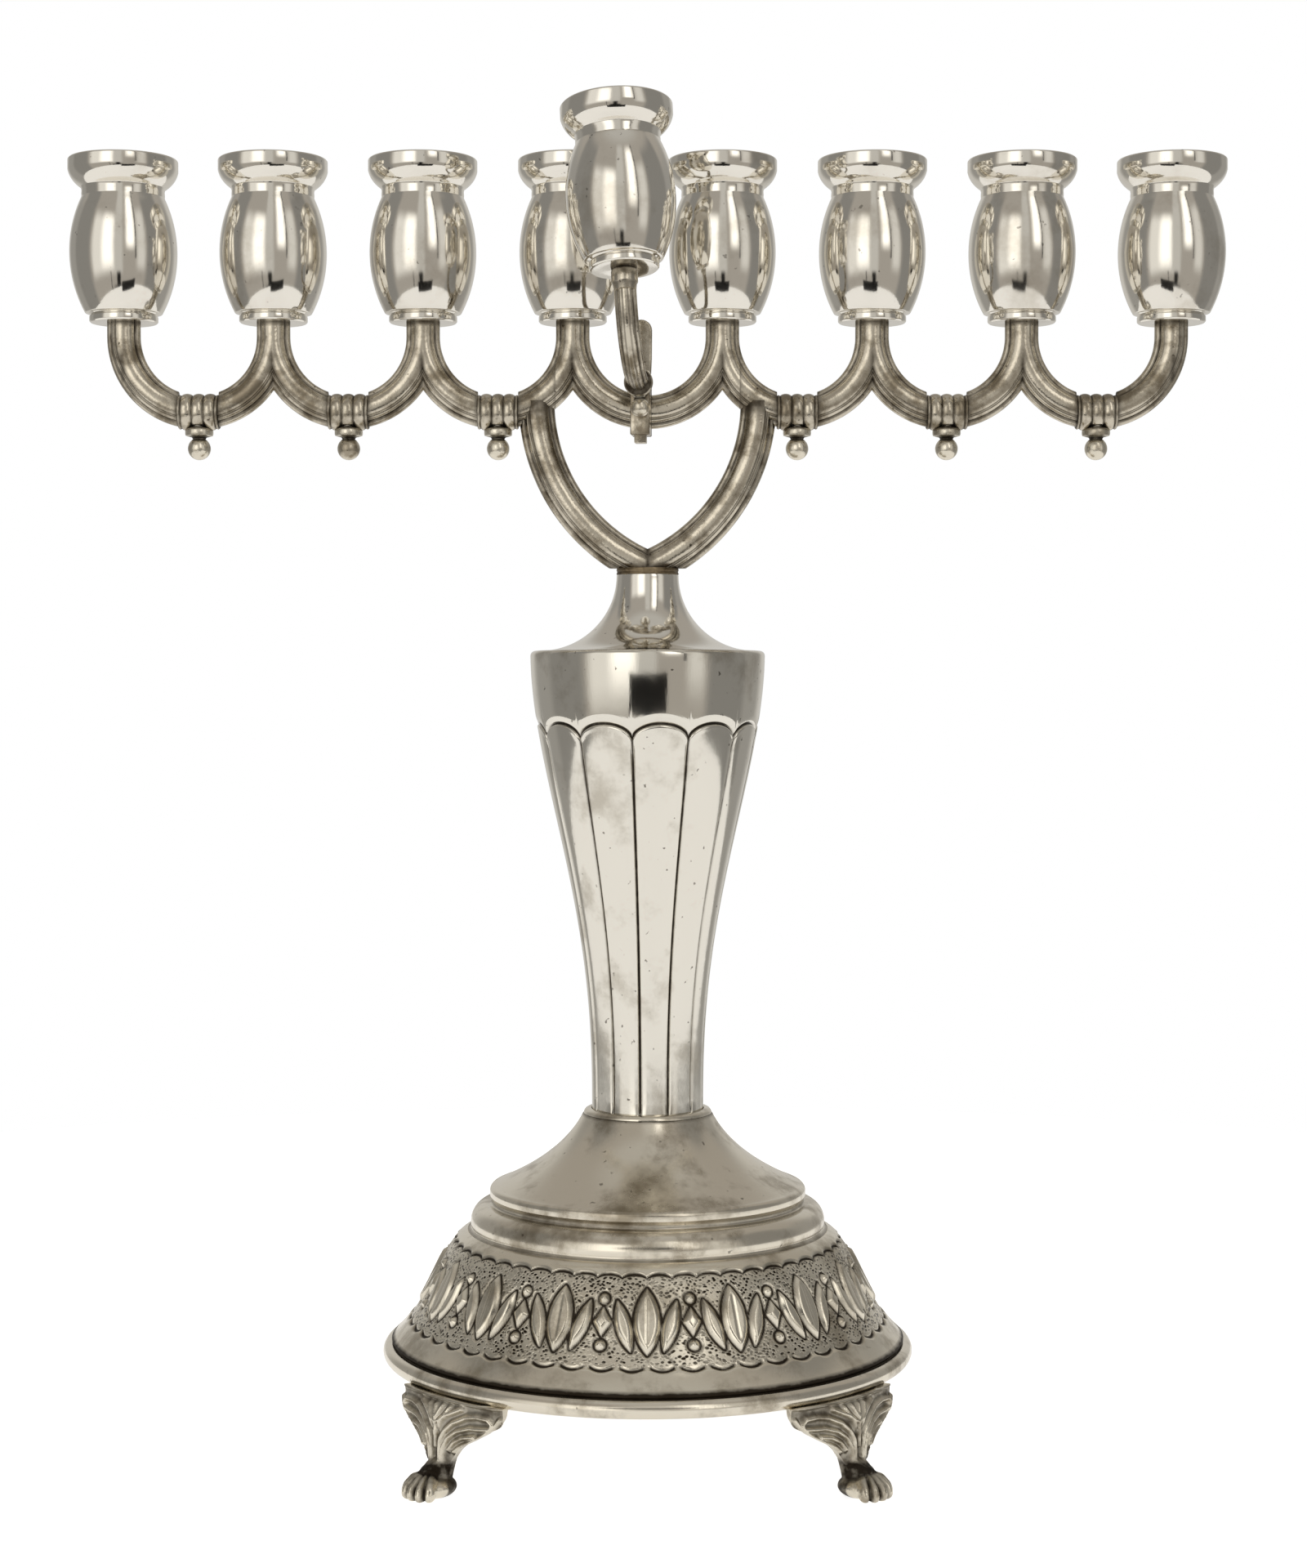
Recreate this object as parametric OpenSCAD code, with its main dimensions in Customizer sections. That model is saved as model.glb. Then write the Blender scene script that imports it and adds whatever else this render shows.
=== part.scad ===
// Nine-light Hanukkah lamp in silver: a vase stem on a domed base with four paw feet, a row of
// eight candle cups on half-round branches, and a servant light on a lift-out holder in front.
// The origin is on the table, on the stem's axis. +X is to the right, -Y is the front, +Z is up.

/* [Base] */
// Height of the rim ring's underside above the table
foot_h = 17.8; // [16:0.1:22]
// Outer radius of the rim ring
rim_r = 54.1; // [46:0.1:65]
// Height of the rim ring
rim_h = 3.6; // [3:0.1:5]
// Height of the base shell, from the rim ring's top to the stem's seat
base_h = 46.1; // [38:0.1:56]
// Thickness of the raised sheet silver
wall = 0.9; // [0.7:0.05:1.2]

/* [Stem] */
// Height of the vase stem
stem_h = 94.3; // [78:0.1:114]
// Radius of the vase stem at its foot
stem_foot_r = 11.4; // [9.5:0.1:12.8]
// Radius of the vase stem at its top
stem_top_r = 23.9; // [20:0.1:29]
// Height of the neck above the vase stem
neck_h = 15.5; // [13:0.1:19]
// Radius of the neck where the branches stand on it
neck_top_r = 6.3; // [5.8:0.1:7.6]
// Diameter of the steel rod that ties the stem together
rod_d = 4; // [3:0.1:4.8]

/* [Branches] */
// Distance between neighbouring candle cups
cup_pitch = 30.4; // [27:0.1:37]
// Height of the half-round arcs' lowest point above the neck
heart_rise = 31.7; // [27:0.1:38]
// Radius of the middle reed of a branch
reed_r = 2.75; // [2.3:0.05:3.2]
// Radius of the middle reed of the two heart-shaped limbs
limb_reed_r = 2.95; // [2.5:0.05:3.4]
// Length of the ribbed collars
collar_w = 8.2; // [7:0.1:9.8]
// Largest radius of the ribbed collars
collar_r = 3.75; // [3.5:0.05:4.4]

/* [Candle cups] */
// Height of a candle cup
cup_h = 33; // [27.5:0.1:39.6]
// Diameter of the candle's bore
candle_d = 11.5; // [9.6:0.1:13.8]
// Thickness of the candle liner
liner_wall = 0.6; // [0.5:0.05:0.8]

/* [Servant light] */
// How far the servant light stands forward of the branches
servant_reach = 15; // [12.5:0.1:18]
// Angle by which its cup leans back
servant_lean = 8; // [0:0.5:12]
// Angle by which its holder is turned to the left
servant_turn = 5.4; // [0:0.1:8]
// Angle by which its arm leans to the left
servant_roll = 3.6; // [0:0.1:6]
// Side of the holder's square tenon
tenon_side = 2.4; // [2:0.1:2.7]

/* [Fits] */
// Clearance round the spigots, the rod and the screws
joint_gap = 0.05; // [0.02:0.01:0.1]
// Clearance on each side of the servant holder's tenon
tenon_gap = 0.05; // [0.03:0.01:0.1]

/* [Hidden] */
$fn = 96;

// Levels, from the table upwards
rim_top_z = foot_h + rim_h;
seat_z = rim_top_z + base_h;
stem_top_z = seat_z + stem_h;
neck_top_z = stem_top_z + neck_h;
yoke_h = 1.3;
yoke_top_z = neck_top_z + yoke_h;
arc_low_z = yoke_top_z + heart_rise;
arc_r = cup_pitch / 2;
arc_z = arc_low_z + arc_r;
stub_h = 2.8;
cup_z = arc_z + stub_h;

// The outlines of the base and the cup are drawn once, at these sizes, and scaled to fit
base_drawn = [54.1, 46.1];
cup_drawn = [5.75, 33];
base_k = [rim_r / base_drawn.x, base_h / base_drawn.y];
cup_k = [candle_d / 2 / cup_drawn.x, cup_h / cup_drawn.y];

// Reeded sections
lobe_r = 0.42 * reed_r;
lobe_u = 0.82 * reed_r;
limb_lobe_r = 0.41 * limb_reed_r;
limb_lobe_u = 0.82 * limb_reed_r;
limb_half_w = limb_lobe_u + limb_lobe_r;

// Collars and the spigots inside them
collar_half = collar_w / 2;
spigot_r = reed_r - 0.2;
spigot_root = 0.5;

// Heart-shaped limbs: each is one arc, upright at its top, that ends on the stem's axis
limb_top_x = cup_pitch - collar_half - 0.1 - limb_half_w;
limb_top_z = arc_z - sqrt(pow(arc_r, 2) - pow(cup_pitch - limb_top_x, 2));
limb_rise = limb_top_z - yoke_top_z;
limb_r = (pow(limb_top_x, 2) + pow(limb_rise, 2)) / (2 * limb_top_x);
limb_split_x = limb_top_x - limb_half_w - 0.3;

// Rod, nut and washer
rod_r = rod_d / 2;
yoke_hub_h = 8;
rod_end_z = neck_top_z - 1.3;
washer_r = 9;
washer_t = 1;
nut_r = 1.01 * rod_d;
nut_h = 0.8 * rod_d;
rod_tail = 1.4;

// Screws that hold the cups
screw_r = 1.5;
screw_head_r = 2.8;
screw_head_h = 1.8;
screw_hole_r = screw_r + joint_gap;
screw_depth = 7;
cup_floor_t = 1;
liner_floor_t = 0.8;

// Servant holder, in its own frame: +X forward, +Z up
servant_x = -0.9;
socket_low_z = arc_low_z - 5.2;
socket_top_z = arc_low_z + 4.9;
socket_w = 3.9;
socket_back = 1.8;
socket_front = 7.2;
socket_mid = 5.2;
holder_gap = 0.3;
holder_front = socket_front + holder_gap + 0.5;
block_h = 2.6;
arm_z = arc_low_z + 5;
arm_bend_u = 10.5;
arm_reed_r = 1.8;
arm_lobe_r = 0.8;
arm_lobe_v = 1.4;
arm_tip = 3;
arm_boss_r = 2.6;
arm_boss_root = 1.2;
servant_collar_r = 2.9;
servant_ball_r = 1.9;

function both_ways(points) =
    concat(points, [for (k = [len(points) - 1:-1:0]) [-points[k].x, points[k].y]]);
function scaled(points, k) = [for (p = points) [p.x * k.x, p.y * k.y]];
function arc(c, r, a0, a1, n) =
    [for (i = [0:n]) c + r * [cos(a0 + (a1 - a0) * i / n), sin(a0 + (a1 - a0) * i / n)]];
function quadratic(a, b, c, n) =
    [for (i = [0:n]) let (t = i / n) (1 - t) * (1 - t) * a + 2 * t * (1 - t) * b + t * t * c];
function cubic(a, b, c, d, n) =
    [for (i = [0:n]) let (t = i / n, s = 1 - t)
        s * s * s * a + 3 * s * s * t * b + 3 * s * t * t * c + t * t * t * d];
function smooth(t) = 3 * t * t - 2 * t * t * t;
function stem_r(t) = stem_foot_r + (stem_top_r - stem_foot_r) * smooth(pow(t, 1.32));
function cup_x(k) = (k - 4.5) * cup_pitch;

// ---- Base ----

function base_outside() = concat(
    [[50.9, 0], [51.7, 0], [51.7, 0.6]],
    cubic([52.3, 0.6], [44, 8.1], [43, 20.1], [36.8, 22.5], 18),
    [[36.4, 22.7]],
    arc([32.6, 24.3], 3.6, -20, 90, 10),
    [[31.9, 27.9], [31.9, 28.9], [32.3, 29.5]],
    arc([31.2, 30.4], 1.1, 0, 80, 5),
    quadratic([31, 31.6], [17.6, 37.5], [13.3, 45.9], 14),
    [[13.3, 46.1]]
);
function base_inside() = concat(
    [[12.4, 46.1 - wall]],
    quadratic([12.4, 45.1], [16.9, 36.6], [30.3, 30.4], 12),
    [[31, 29.6], [31, 27.1]],
    arc([32.6, 24.3], 3.6 - wall, 90, -20, 6),
    cubic([35.9, 21.5], [42, 19], [43, 7.5], [50.9, 1.2], 14)
);

module base_shell() {
    hole_r = (rod_r + joint_gap) / base_k.x;
    color("silver") translate([0, 0, rim_top_z]) rotate_extrude()
        polygon(scaled(concat(
            base_outside(),
            [[hole_r, 46.1], [hole_r, 46.1 - wall]],
            base_inside()
        ), base_k));
}

module rim_ring() {
    color("silver") translate([0, 0, foot_h]) rotate_extrude() union() {
        translate([rim_r - rim_h / 2, rim_h / 2]) circle(rim_h / 2);
        translate([50 * base_k.x, 0]) square([rim_r - rim_h / 2 - 50 * base_k.x, rim_h]);
    }
}

// ---- Feet ----

toe_count = 5;
toe_r = 1.35;
toe_spread = 80;
toe_reach = 5.6;
paw_r = 4.9;
paw_u = 3.4;
wing_half_w = 14.4;
foot_slab = 12;

// Side outline of the leg, outwards from the rim ring's radius, with the sole on the table
function leg_side() = [
    [-3.9, foot_h], [-0.7, foot_h], [0.9, foot_h - 3.3], [0.8, foot_h - 6.8],
    [1.1, 8.5], [3.4, 6.3], [8.4, 5.2], [10.3, 2.6], [10.3, 0],
    [1.3, 0], [-0.5, 2], [-1.5, 6], [-2.1, 9.5], [-3.9, 13.5]
];
// Front outline of the leg: broad at the rim and narrow at the ankle
function leg_front() = [[5.2, foot_h], [4, 12.5], [2.3, 9], [2.4, 6.6], [3, 4.4], [3, 0]];
// Lower edge of the wing that spreads along the rim ring
function wing_edge() = concat(
    [[0, foot_h - 9.5], [2.6, foot_h - 8.4]],
    quadratic([2.6, foot_h - 8.4], [6.5, foot_h - 8], [9.5, foot_h - 4.6], 5),
    quadratic([9.5, foot_h - 4.6], [12.2, foot_h - 3.6], [wing_half_w, foot_h - 2], 4),
    [[wing_half_w, foot_h], [0, foot_h]]
);

module both_sides() {
    children();
    mirror([0, 1, 0]) children();
}

module paw_plan() {
    circle(paw_r);
    for (k = [0:toe_count - 1])
        rotate(toe_spread * (k / (toe_count - 1) - 0.5)) translate([toe_reach, 0]) circle(toe_r);
    translate([-paw_u, -paw_r * 0.6]) square([paw_u, paw_r * 1.2]);
}

module leg_slab(outline) {
    rotate([90, 0, 0]) translate([0, 0, -foot_slab / 2]) linear_extrude(foot_slab) polygon(outline);
}

module foot(angle) {
    color("darkgray") rotate(angle) union() {
        intersection() {
            translate([rim_r, 0, 0]) leg_slab(leg_side());
            translate([rim_r - foot_slab, 0, 0]) rotate([90, 0, 90])
                linear_extrude(foot_slab + paw_u) polygon(both_ways(leg_front()));
        }
        intersection() {
            translate([rim_r, 0, 0]) leg_slab(leg_side());
            translate([rim_r + paw_u, 0, 0]) linear_extrude(5.6) paw_plan();
        }
        both_sides() intersection() {
            rotate_extrude() translate([rim_r - 3.9, 0]) square([3.2, foot_h]);
            translate([rim_r - foot_slab, 0, 0]) rotate([90, 0, 90])
                linear_extrude(2 * foot_slab) polygon(wing_edge());
        }
    }
}

module foot_front_left() { foot(-135); }
module foot_front_right() { foot(-45); }
module foot_back_left() { foot(135); }
module foot_back_right() { foot(45); }

// ---- Stem ----

module stem_seat_ring() {
    ring_in = stem_foot_r + 0.1;
    ring_w = 1.6;
    ring_h = 1;
    color("silver") translate([0, 0, seat_z]) rotate_extrude()
        polygon(concat(
            [[ring_in, 0], [ring_in + ring_w, 0]],
            [for (a = [15:15:75]) [ring_in + 0.4 + (ring_w - 0.4) * cos(a), ring_h * sin(a)]],
            [[ring_in + 0.4, ring_h], [ring_in, ring_h]]
        ));
}

module stem_shell() {
    steps = 28;
    edge = 1;
    lip = 2.4;
    body_h = stem_h - edge;
    side = [for (i = [0:steps]) let (t = i / steps * body_h / stem_h) [stem_r(t), t * stem_h]];
    top_r = stem_r(body_h / stem_h);
    inner_t = (stem_h - wall) / stem_h;
    inner = [for (i = [steps:-1:0]) let (t = i / steps * inner_t) [stem_r(t) - wall, t * stem_h]];
    color("silver") translate([0, 0, seat_z]) rotate_extrude()
        polygon(concat(
            side,
            arc([top_r - edge, body_h], edge, 20, 90, 4),
            [[top_r - edge - lip, stem_h], [top_r - edge - lip, stem_h - wall]],
            inner
        ));
}

neck_foot_r = 0.93 * stem_top_r;

module neck_shell() {
    steps = 16;
    reach = neck_foot_r - neck_top_r;
    hole_r = rod_r + joint_gap;
    outside = [for (i = [0:steps]) let (a = 90 * i / steps)
        [neck_foot_r - reach * sin(a), neck_h * (1 - cos(a))]];
    start = acos((neck_h - wall) / (neck_h + wall));
    inside = [for (i = [steps:-1:0]) let (a = start + (90 - start) * i / steps)
        [neck_foot_r - (reach + wall) * sin(a), neck_h - (neck_h + wall) * cos(a)]];
    color("silver") translate([0, 0, stem_top_z]) difference() {
        rotate_extrude() polygon(concat([[0, 0]], outside, [[0, neck_h]]));
        rotate_extrude() polygon(concat([[0, neck_h + 1], [neck_top_r - wall, neck_h + 1]],
            inside, [[0, wall]]));
        translate([0, 0, -1]) cylinder(r = hole_r, h = wall + 2);
    }
}

module tie_rod() {
    low_z = seat_z - wall * base_k.y - washer_t - nut_h - rod_tail;
    color("gainsboro") translate([0, 0, low_z]) cylinder(r = rod_r, h = rod_end_z - low_z);
}

module tie_washer() {
    color("gainsboro") translate([0, 0, seat_z - wall * base_k.y - washer_t]) difference() {
        cylinder(r = washer_r, h = washer_t);
        translate([0, 0, -1]) cylinder(r = rod_r + joint_gap, h = washer_t + 2);
    }
}

module tie_nut() {
    color("gainsboro") translate([0, 0, seat_z - wall * base_k.y - washer_t - nut_h]) difference() {
        cylinder(r = nut_r, h = nut_h, $fn = 6);
        translate([0, 0, -1]) cylinder(r = rod_r + joint_gap, h = nut_h + 2);
    }
}

module yoke_collar() {
    color("dimgray") difference() {
        union() {
            translate([0, 0, neck_top_z]) cylinder(r = neck_top_r + 0.05, h = yoke_h);
            translate([0, 0, neck_top_z - yoke_hub_h])
                cylinder(r = neck_top_r - wall - 0.1, h = yoke_hub_h + 0.1);
        }
        translate([0, 0, neck_top_z - yoke_hub_h - 1])
            cylinder(r = rod_r + joint_gap, h = rod_end_z - neck_top_z + yoke_hub_h + 1.1);
    }
}

// ---- Branches ----

module reeds(r, side_r, side_u) {
    circle(r);
    for (s = [-1, 1]) translate([s * side_u, 0]) circle(side_r);
}

module slab(x_from, x_to, z_from, z_to) {
    deep = 12;
    translate([min(x_from, x_to), -deep / 2, z_from])
        cube([abs(x_to - x_from), deep, z_to - z_from]);
}

// A quarter of a half-round arc, to one side of the cup that it carries. The cup's axis is
// at x = 0, the arc's centre is level with z = 0, and the children are its section.
module quarter_arc(side, x_from, x_to) {
    intersection() {
        translate([side * arc_r, 0, 0]) rotate([90, 0, 0]) rotate(side > 0 ? 180 : 270)
            rotate_extrude(angle = 90) translate([arc_r, 0]) children();
        slab(side * x_from, side * x_to, -arc_r - 6, 1);
    }
}

module stub() {
    linear_extrude(stub_h) reeds(reed_r, lobe_r, lobe_u);
}

module spigot(side) {
    quarter_arc(side, arc_r - collar_half - spigot_root, arc_r - joint_gap) circle(spigot_r);
}

module screw_hole() {
    translate([0, 0, stub_h - screw_depth - 0.5]) cylinder(r = screw_hole_r, h = screw_depth + 1);
}

// A branch under one cup, between two collars
module y_branch(k) {
    color("darkgray") translate([cup_x(k), 0, arc_z]) difference() {
        union() {
            for (side = [-1, 1]) {
                quarter_arc(side, 0, arc_r - collar_half) reeds(reed_r, lobe_r, lobe_u);
                spigot(side);
            }
            stub();
        }
        screw_hole();
    }
}

// The branch at an end of the row, which springs from one collar
module end_branch(k, side) {
    color("darkgray") translate([cup_x(k), 0, arc_z]) difference() {
        union() {
            quarter_arc(side, -arc_r, arc_r - collar_half) reeds(reed_r, lobe_r, lobe_u);
            spigot(side);
            stub();
        }
        screw_hole();
    }
}

module centre_branch() {
    outer_reach = limb_split_x - arc_r;
    color("darkgray") difference() {
        for (side = [-1, 1]) translate([side * arc_r, 0, arc_z]) {
            quarter_arc(side, 0, outer_reach) reeds(reed_r, lobe_r, lobe_u);
            quarter_arc(-side, 0, arc_r) reeds(reed_r, lobe_r, lobe_u);
            stub();
        }
        for (side = [-1, 1]) translate([side * arc_r, 0, arc_z]) screw_hole();
    }
}

module heart_limb() {
    low_angle = acos((limb_r - limb_top_x) / limb_r) + 8;
    color("darkgray") union() {
        intersection() {
            translate([limb_top_x - limb_r, 0, limb_top_z]) rotate([90, 0, 0]) rotate(-low_angle)
                rotate_extrude(angle = low_angle) translate([limb_r, 0])
                    reeds(limb_reed_r, limb_lobe_r, limb_lobe_u);
            slab(0, cup_pitch, yoke_top_z, limb_top_z + 1);
        }
        translate([arc_r, 0, arc_z]) {
            quarter_arc(1, limb_split_x - arc_r, arc_r - collar_half) reeds(reed_r, lobe_r, lobe_u);
            spigot(1);
        }
    }
}

module heart_limb_right() { heart_limb(); }
module heart_limb_left() { mirror([1, 0, 0]) heart_limb(); }

// ---- Collars and finials at the arcs' lowest points ----

function collar_side() = concat(
    [[collar_r - 0.25, -collar_half], [collar_r - 0.25, -collar_half + 0.5]],
    [for (rib = [-1, 0, 1]) for (a = [20:20:160])
        [collar_r - 0.6 + 0.6 * sin(a), rib * (collar_half - 0.6) * 2 / 3 - (collar_half - 0.6) / 3 * cos(a)]],
    [[collar_r - 0.25, collar_half - 0.5], [collar_r - 0.25, collar_half]]
);

module collar(k) {
    color("darkgray") translate([cup_x(k) + arc_r, 0, 0]) difference() {
        translate([0, 0, arc_low_z]) rotate([0, 90, 0]) rotate_extrude()
            polygon(concat([[0, -collar_half]], collar_side(), [[0, collar_half]]));
        translate([0, 0, arc_z]) rotate([90, 0, 0]) rotate(225)
            rotate_extrude(angle = 90) translate([arc_r, 0]) circle(spigot_r + joint_gap);
    }
}

module finial(k) {
    disc_r = 2.85;
    ball_r = 2.3;
    ball_z = -7.4;
    color("silver") translate([cup_x(k) + arc_r, 0, arc_low_z]) difference() {
        union() {
            translate([0, 0, -4.8]) cylinder(r = disc_r, h = 1.5);
            translate([0, 0, -3.4]) cylinder(r = disc_r - 0.4, h = 1.2);
            translate([0, 0, ball_z]) cylinder(r = ball_r - 0.3, h = -4.7 - ball_z);
            translate([0, 0, ball_z]) sphere(ball_r);
        }
        rotate([0, 90, 0]) translate([0, 0, -cup_pitch / 4])
            cylinder(r = collar_r + 0.02, h = cup_pitch / 2);
    }
}

// ---- Candle cups, liners and screws ----

barrel_c = [-15.2, 14.2];
barrel_r = 26;
cup_wall = 0.8;
rim_z = 33;
ledge_z = 30.9;
ledge_r = 10.2;

function cup_side() = concat(
    [[6.6, 0], [6.9, 0.3], [6.9, 1.3], [6.6, 1.5], [7.2, 1.9]],
    arc(barrel_c, barrel_r, -28.1, 25.2, 16),
    [[8.35, 25.9], [8.3, 26.6]],
    quadratic([8.45, 27.2], [10.6, 28.6], [11.05, 30.7], 7),
    [[11.05, 32.7], [10.8, rim_z]]
);
function cup_inside() = concat(
    [[ledge_r, rim_z], [ledge_r, ledge_z], [9.6, ledge_z], [9.6, 29.9], [7.5, 27]],
    arc(barrel_c, barrel_r - cup_wall, 24.8, -27.6, 12),
    [[6.2, cup_floor_t]]
);

module cup_at_origin() {
    hole_r = (screw_hole_r + joint_gap) / cup_k.x;
    rotate_extrude() polygon(scaled(
        concat([[hole_r, 0]], cup_side(), cup_inside(), [[hole_r, cup_floor_t]]), cup_k));
}

module liner_at_origin() {
    bore_r = candle_d / 2;
    hole_r = screw_hole_r + 2 * joint_gap;
    low_z = cup_floor_t * cup_k.y;
    floor_z = low_z + liner_floor_t;
    well_r = 0.8 * bore_r;
    step_z = floor_z + 2.4;
    bore_z = step_z + 0.4;
    flange_low_z = ledge_z * cup_k.y;
    flange_r = ledge_r * cup_k.x - joint_gap;
    flange_t = 0.8;
    rotate_extrude() polygon([
        [hole_r, low_z], [well_r + liner_wall, low_z], [well_r + liner_wall, step_z - 0.6],
        [bore_r + liner_wall, bore_z - 0.6], [bore_r + liner_wall, flange_low_z],
        [flange_r, flange_low_z], [flange_r, flange_low_z + flange_t],
        [bore_r, flange_low_z + flange_t], [bore_r, bore_z],
        [well_r, step_z], [well_r, floor_z], [hole_r, floor_z]
    ]);
}

module screw_at_origin(depth) {
    head_z = cup_floor_t * cup_k.y + liner_floor_t;
    translate([0, 0, -depth]) cylinder(r = screw_r, h = depth + head_z + 0.1);
    translate([0, 0, head_z]) cylinder(r = screw_head_r, h = screw_head_h);
}

module cup(k) { color("silver") translate([cup_x(k), 0, cup_z]) cup_at_origin(); }
module candle_liner(k) { color("lightgray") translate([cup_x(k), 0, cup_z]) liner_at_origin(); }
module cup_screws() {
    for (k = [1:8])
        color("gainsboro") translate([cup_x(k), 0, cup_z]) screw_at_origin(screw_depth - 0.5);
}

// ---- Servant light ----

module in_holder_frame() {
    translate([servant_x, 0, 0]) rotate(-90 - servant_turn) children();
}

// The arm, its collar, its finial and its cup lean together about the arm's root
module in_arm_frame() {
    in_holder_frame() translate([0, 0, arm_z]) rotate([servant_roll, 0, 0]) children();
}

module in_servant_cup_frame() {
    sweep = 90 + servant_lean;
    in_arm_frame()
        translate([arm_bend_u + servant_reach * sin(sweep), 0, servant_reach * (1 - cos(sweep))])
            rotate([0, -servant_lean, 0]) translate([0, 0, arm_tip]) children();
}

module shamash_socket() {
    hole = tenon_side + 2 * tenon_gap;
    color("darkgray") difference() {
        in_holder_frame() difference() {
            translate([socket_back, -socket_w / 2, socket_low_z])
                cube([socket_front - socket_back, socket_w, socket_top_z - socket_low_z]);
            translate([socket_mid - hole / 2, -hole / 2, socket_low_z - 1])
                cube([hole, hole, socket_top_z - socket_low_z + 2]);
        }
        translate([0, 0, arc_z]) rotate([90, 0, 0]) rotate(225) rotate_extrude(angle = 90)
            translate([arc_r, 0]) reeds(reed_r + 0.03, lobe_r + 0.03, lobe_u);
    }
}

module shamash_tenon() {
    leaf_w = 4.4;
    leaf_t = 1.2;
    leaf_h = 11;
    block_z = socket_top_z + 0.2;
    block_back = socket_mid - 1.8;
    color("darkgray") in_holder_frame() union() {
        translate([socket_mid - tenon_side / 2, -tenon_side / 2, socket_low_z - 1.6])
            cube([tenon_side, tenon_side, block_z - socket_low_z + 1.7]);
        translate([block_back, -socket_w / 2, block_z])
            cube([holder_front - block_back, socket_w, block_h]);
        translate([holder_front - 0.5, -socket_w / 2, arm_z - arm_reed_r])
            cube([0.5, socket_w, block_z + block_h - arm_z + arm_reed_r]);
        translate([block_back, 0, block_z + block_h - 0.5]) rotate([90, 0, 90])
            linear_extrude(leaf_t) union() {
                translate([-leaf_w / 2, 0]) square([leaf_w, leaf_h - leaf_w / 2]);
                translate([0, leaf_h - leaf_w / 2]) circle(leaf_w / 2);
            }
    }
}

module arm_section() {
    circle(arm_reed_r);
    for (s = [-1, 1]) translate([0, s * arm_lobe_v]) circle(arm_lobe_r);
}

module shamash_arm() {
    sweep = 90 + servant_lean;
    color("darkgray") difference() {
        union() {
            in_arm_frame() {
                translate([holder_front, 0, 0]) rotate([0, 90, 0])
                    linear_extrude(arm_bend_u - holder_front) arm_section();
                translate([arm_bend_u, 0, servant_reach]) rotate([90, 0, 0]) rotate(-90)
                    rotate_extrude(angle = sweep) translate([servant_reach, 0]) arm_section();
            }
            in_servant_cup_frame() translate([0, 0, -arm_tip - arm_boss_root])
                cylinder(r = arm_boss_r, h = arm_tip + arm_boss_root);
        }
        in_servant_cup_frame() translate([0, 0, -arm_tip]) cylinder(r = screw_hole_r, h = arm_tip + 1);
    }
}

module shamash_collar() {
    ring_u = 9;
    ring_w = 1.4;
    ring_in = arm_lobe_v + arm_lobe_r + joint_gap;
    color("darkgray") in_arm_frame() translate([ring_u, 0, 0]) rotate([0, 90, 0]) rotate_extrude()
        polygon([
            [ring_in, 0], [servant_collar_r - 0.3, 0], [servant_collar_r, 0.25],
            [servant_collar_r, 0.5], [servant_collar_r - 0.3, 0.7], [servant_collar_r, 0.9],
            [servant_collar_r, 1.15], [servant_collar_r - 0.3, ring_w], [ring_in, ring_w]
        ]);
}

module shamash_finial() {
    ball_u = 9.7;
    ball_z = -5.1;
    color("silver") in_arm_frame() difference() {
        union() {
            translate([ball_u, 0, ball_z]) sphere(servant_ball_r);
            translate([ball_u, 0, ball_z]) cylinder(r = 1.1, h = -ball_z - 2.4);
        }
        translate([ball_u - 4, 0, 0]) rotate([0, 90, 0]) cylinder(r = servant_collar_r + 0.02, h = 8);
    }
}

module shamash_cup() { color("silver") in_servant_cup_frame() cup_at_origin(); }
module shamash_liner() { color("lightgray") in_servant_cup_frame() liner_at_origin(); }
module shamash_screw() { color("gainsboro") in_servant_cup_frame() screw_at_origin(arm_tip - 0.5); }

base_shell();
rim_ring();
foot_front_left();
foot_front_right();
foot_back_left();
foot_back_right();
stem_seat_ring();
stem_shell();
neck_shell();
tie_rod();
tie_nut();
tie_washer();
yoke_collar();
heart_limb_left();
heart_limb_right();
centre_branch();
for (k = [2, 3, 6, 7]) y_branch(k);
end_branch(1, 1);  // branch_1
end_branch(8, -1);  // branch_8
for (k = [1, 2, 3, 5, 6, 7]) collar(k);
for (k = [1, 2, 3, 5, 6, 7]) finial(k);
for (k = [1:8]) cup(k);
for (k = [1:8]) candle_liner(k);
cup_screws();
shamash_socket();
shamash_arm();
shamash_tenon();
shamash_collar();
shamash_finial();
shamash_cup();
shamash_liner();
shamash_screw();
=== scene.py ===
import math

import bpy
import numpy as np
from mathutils import Matrix, Vector


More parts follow.
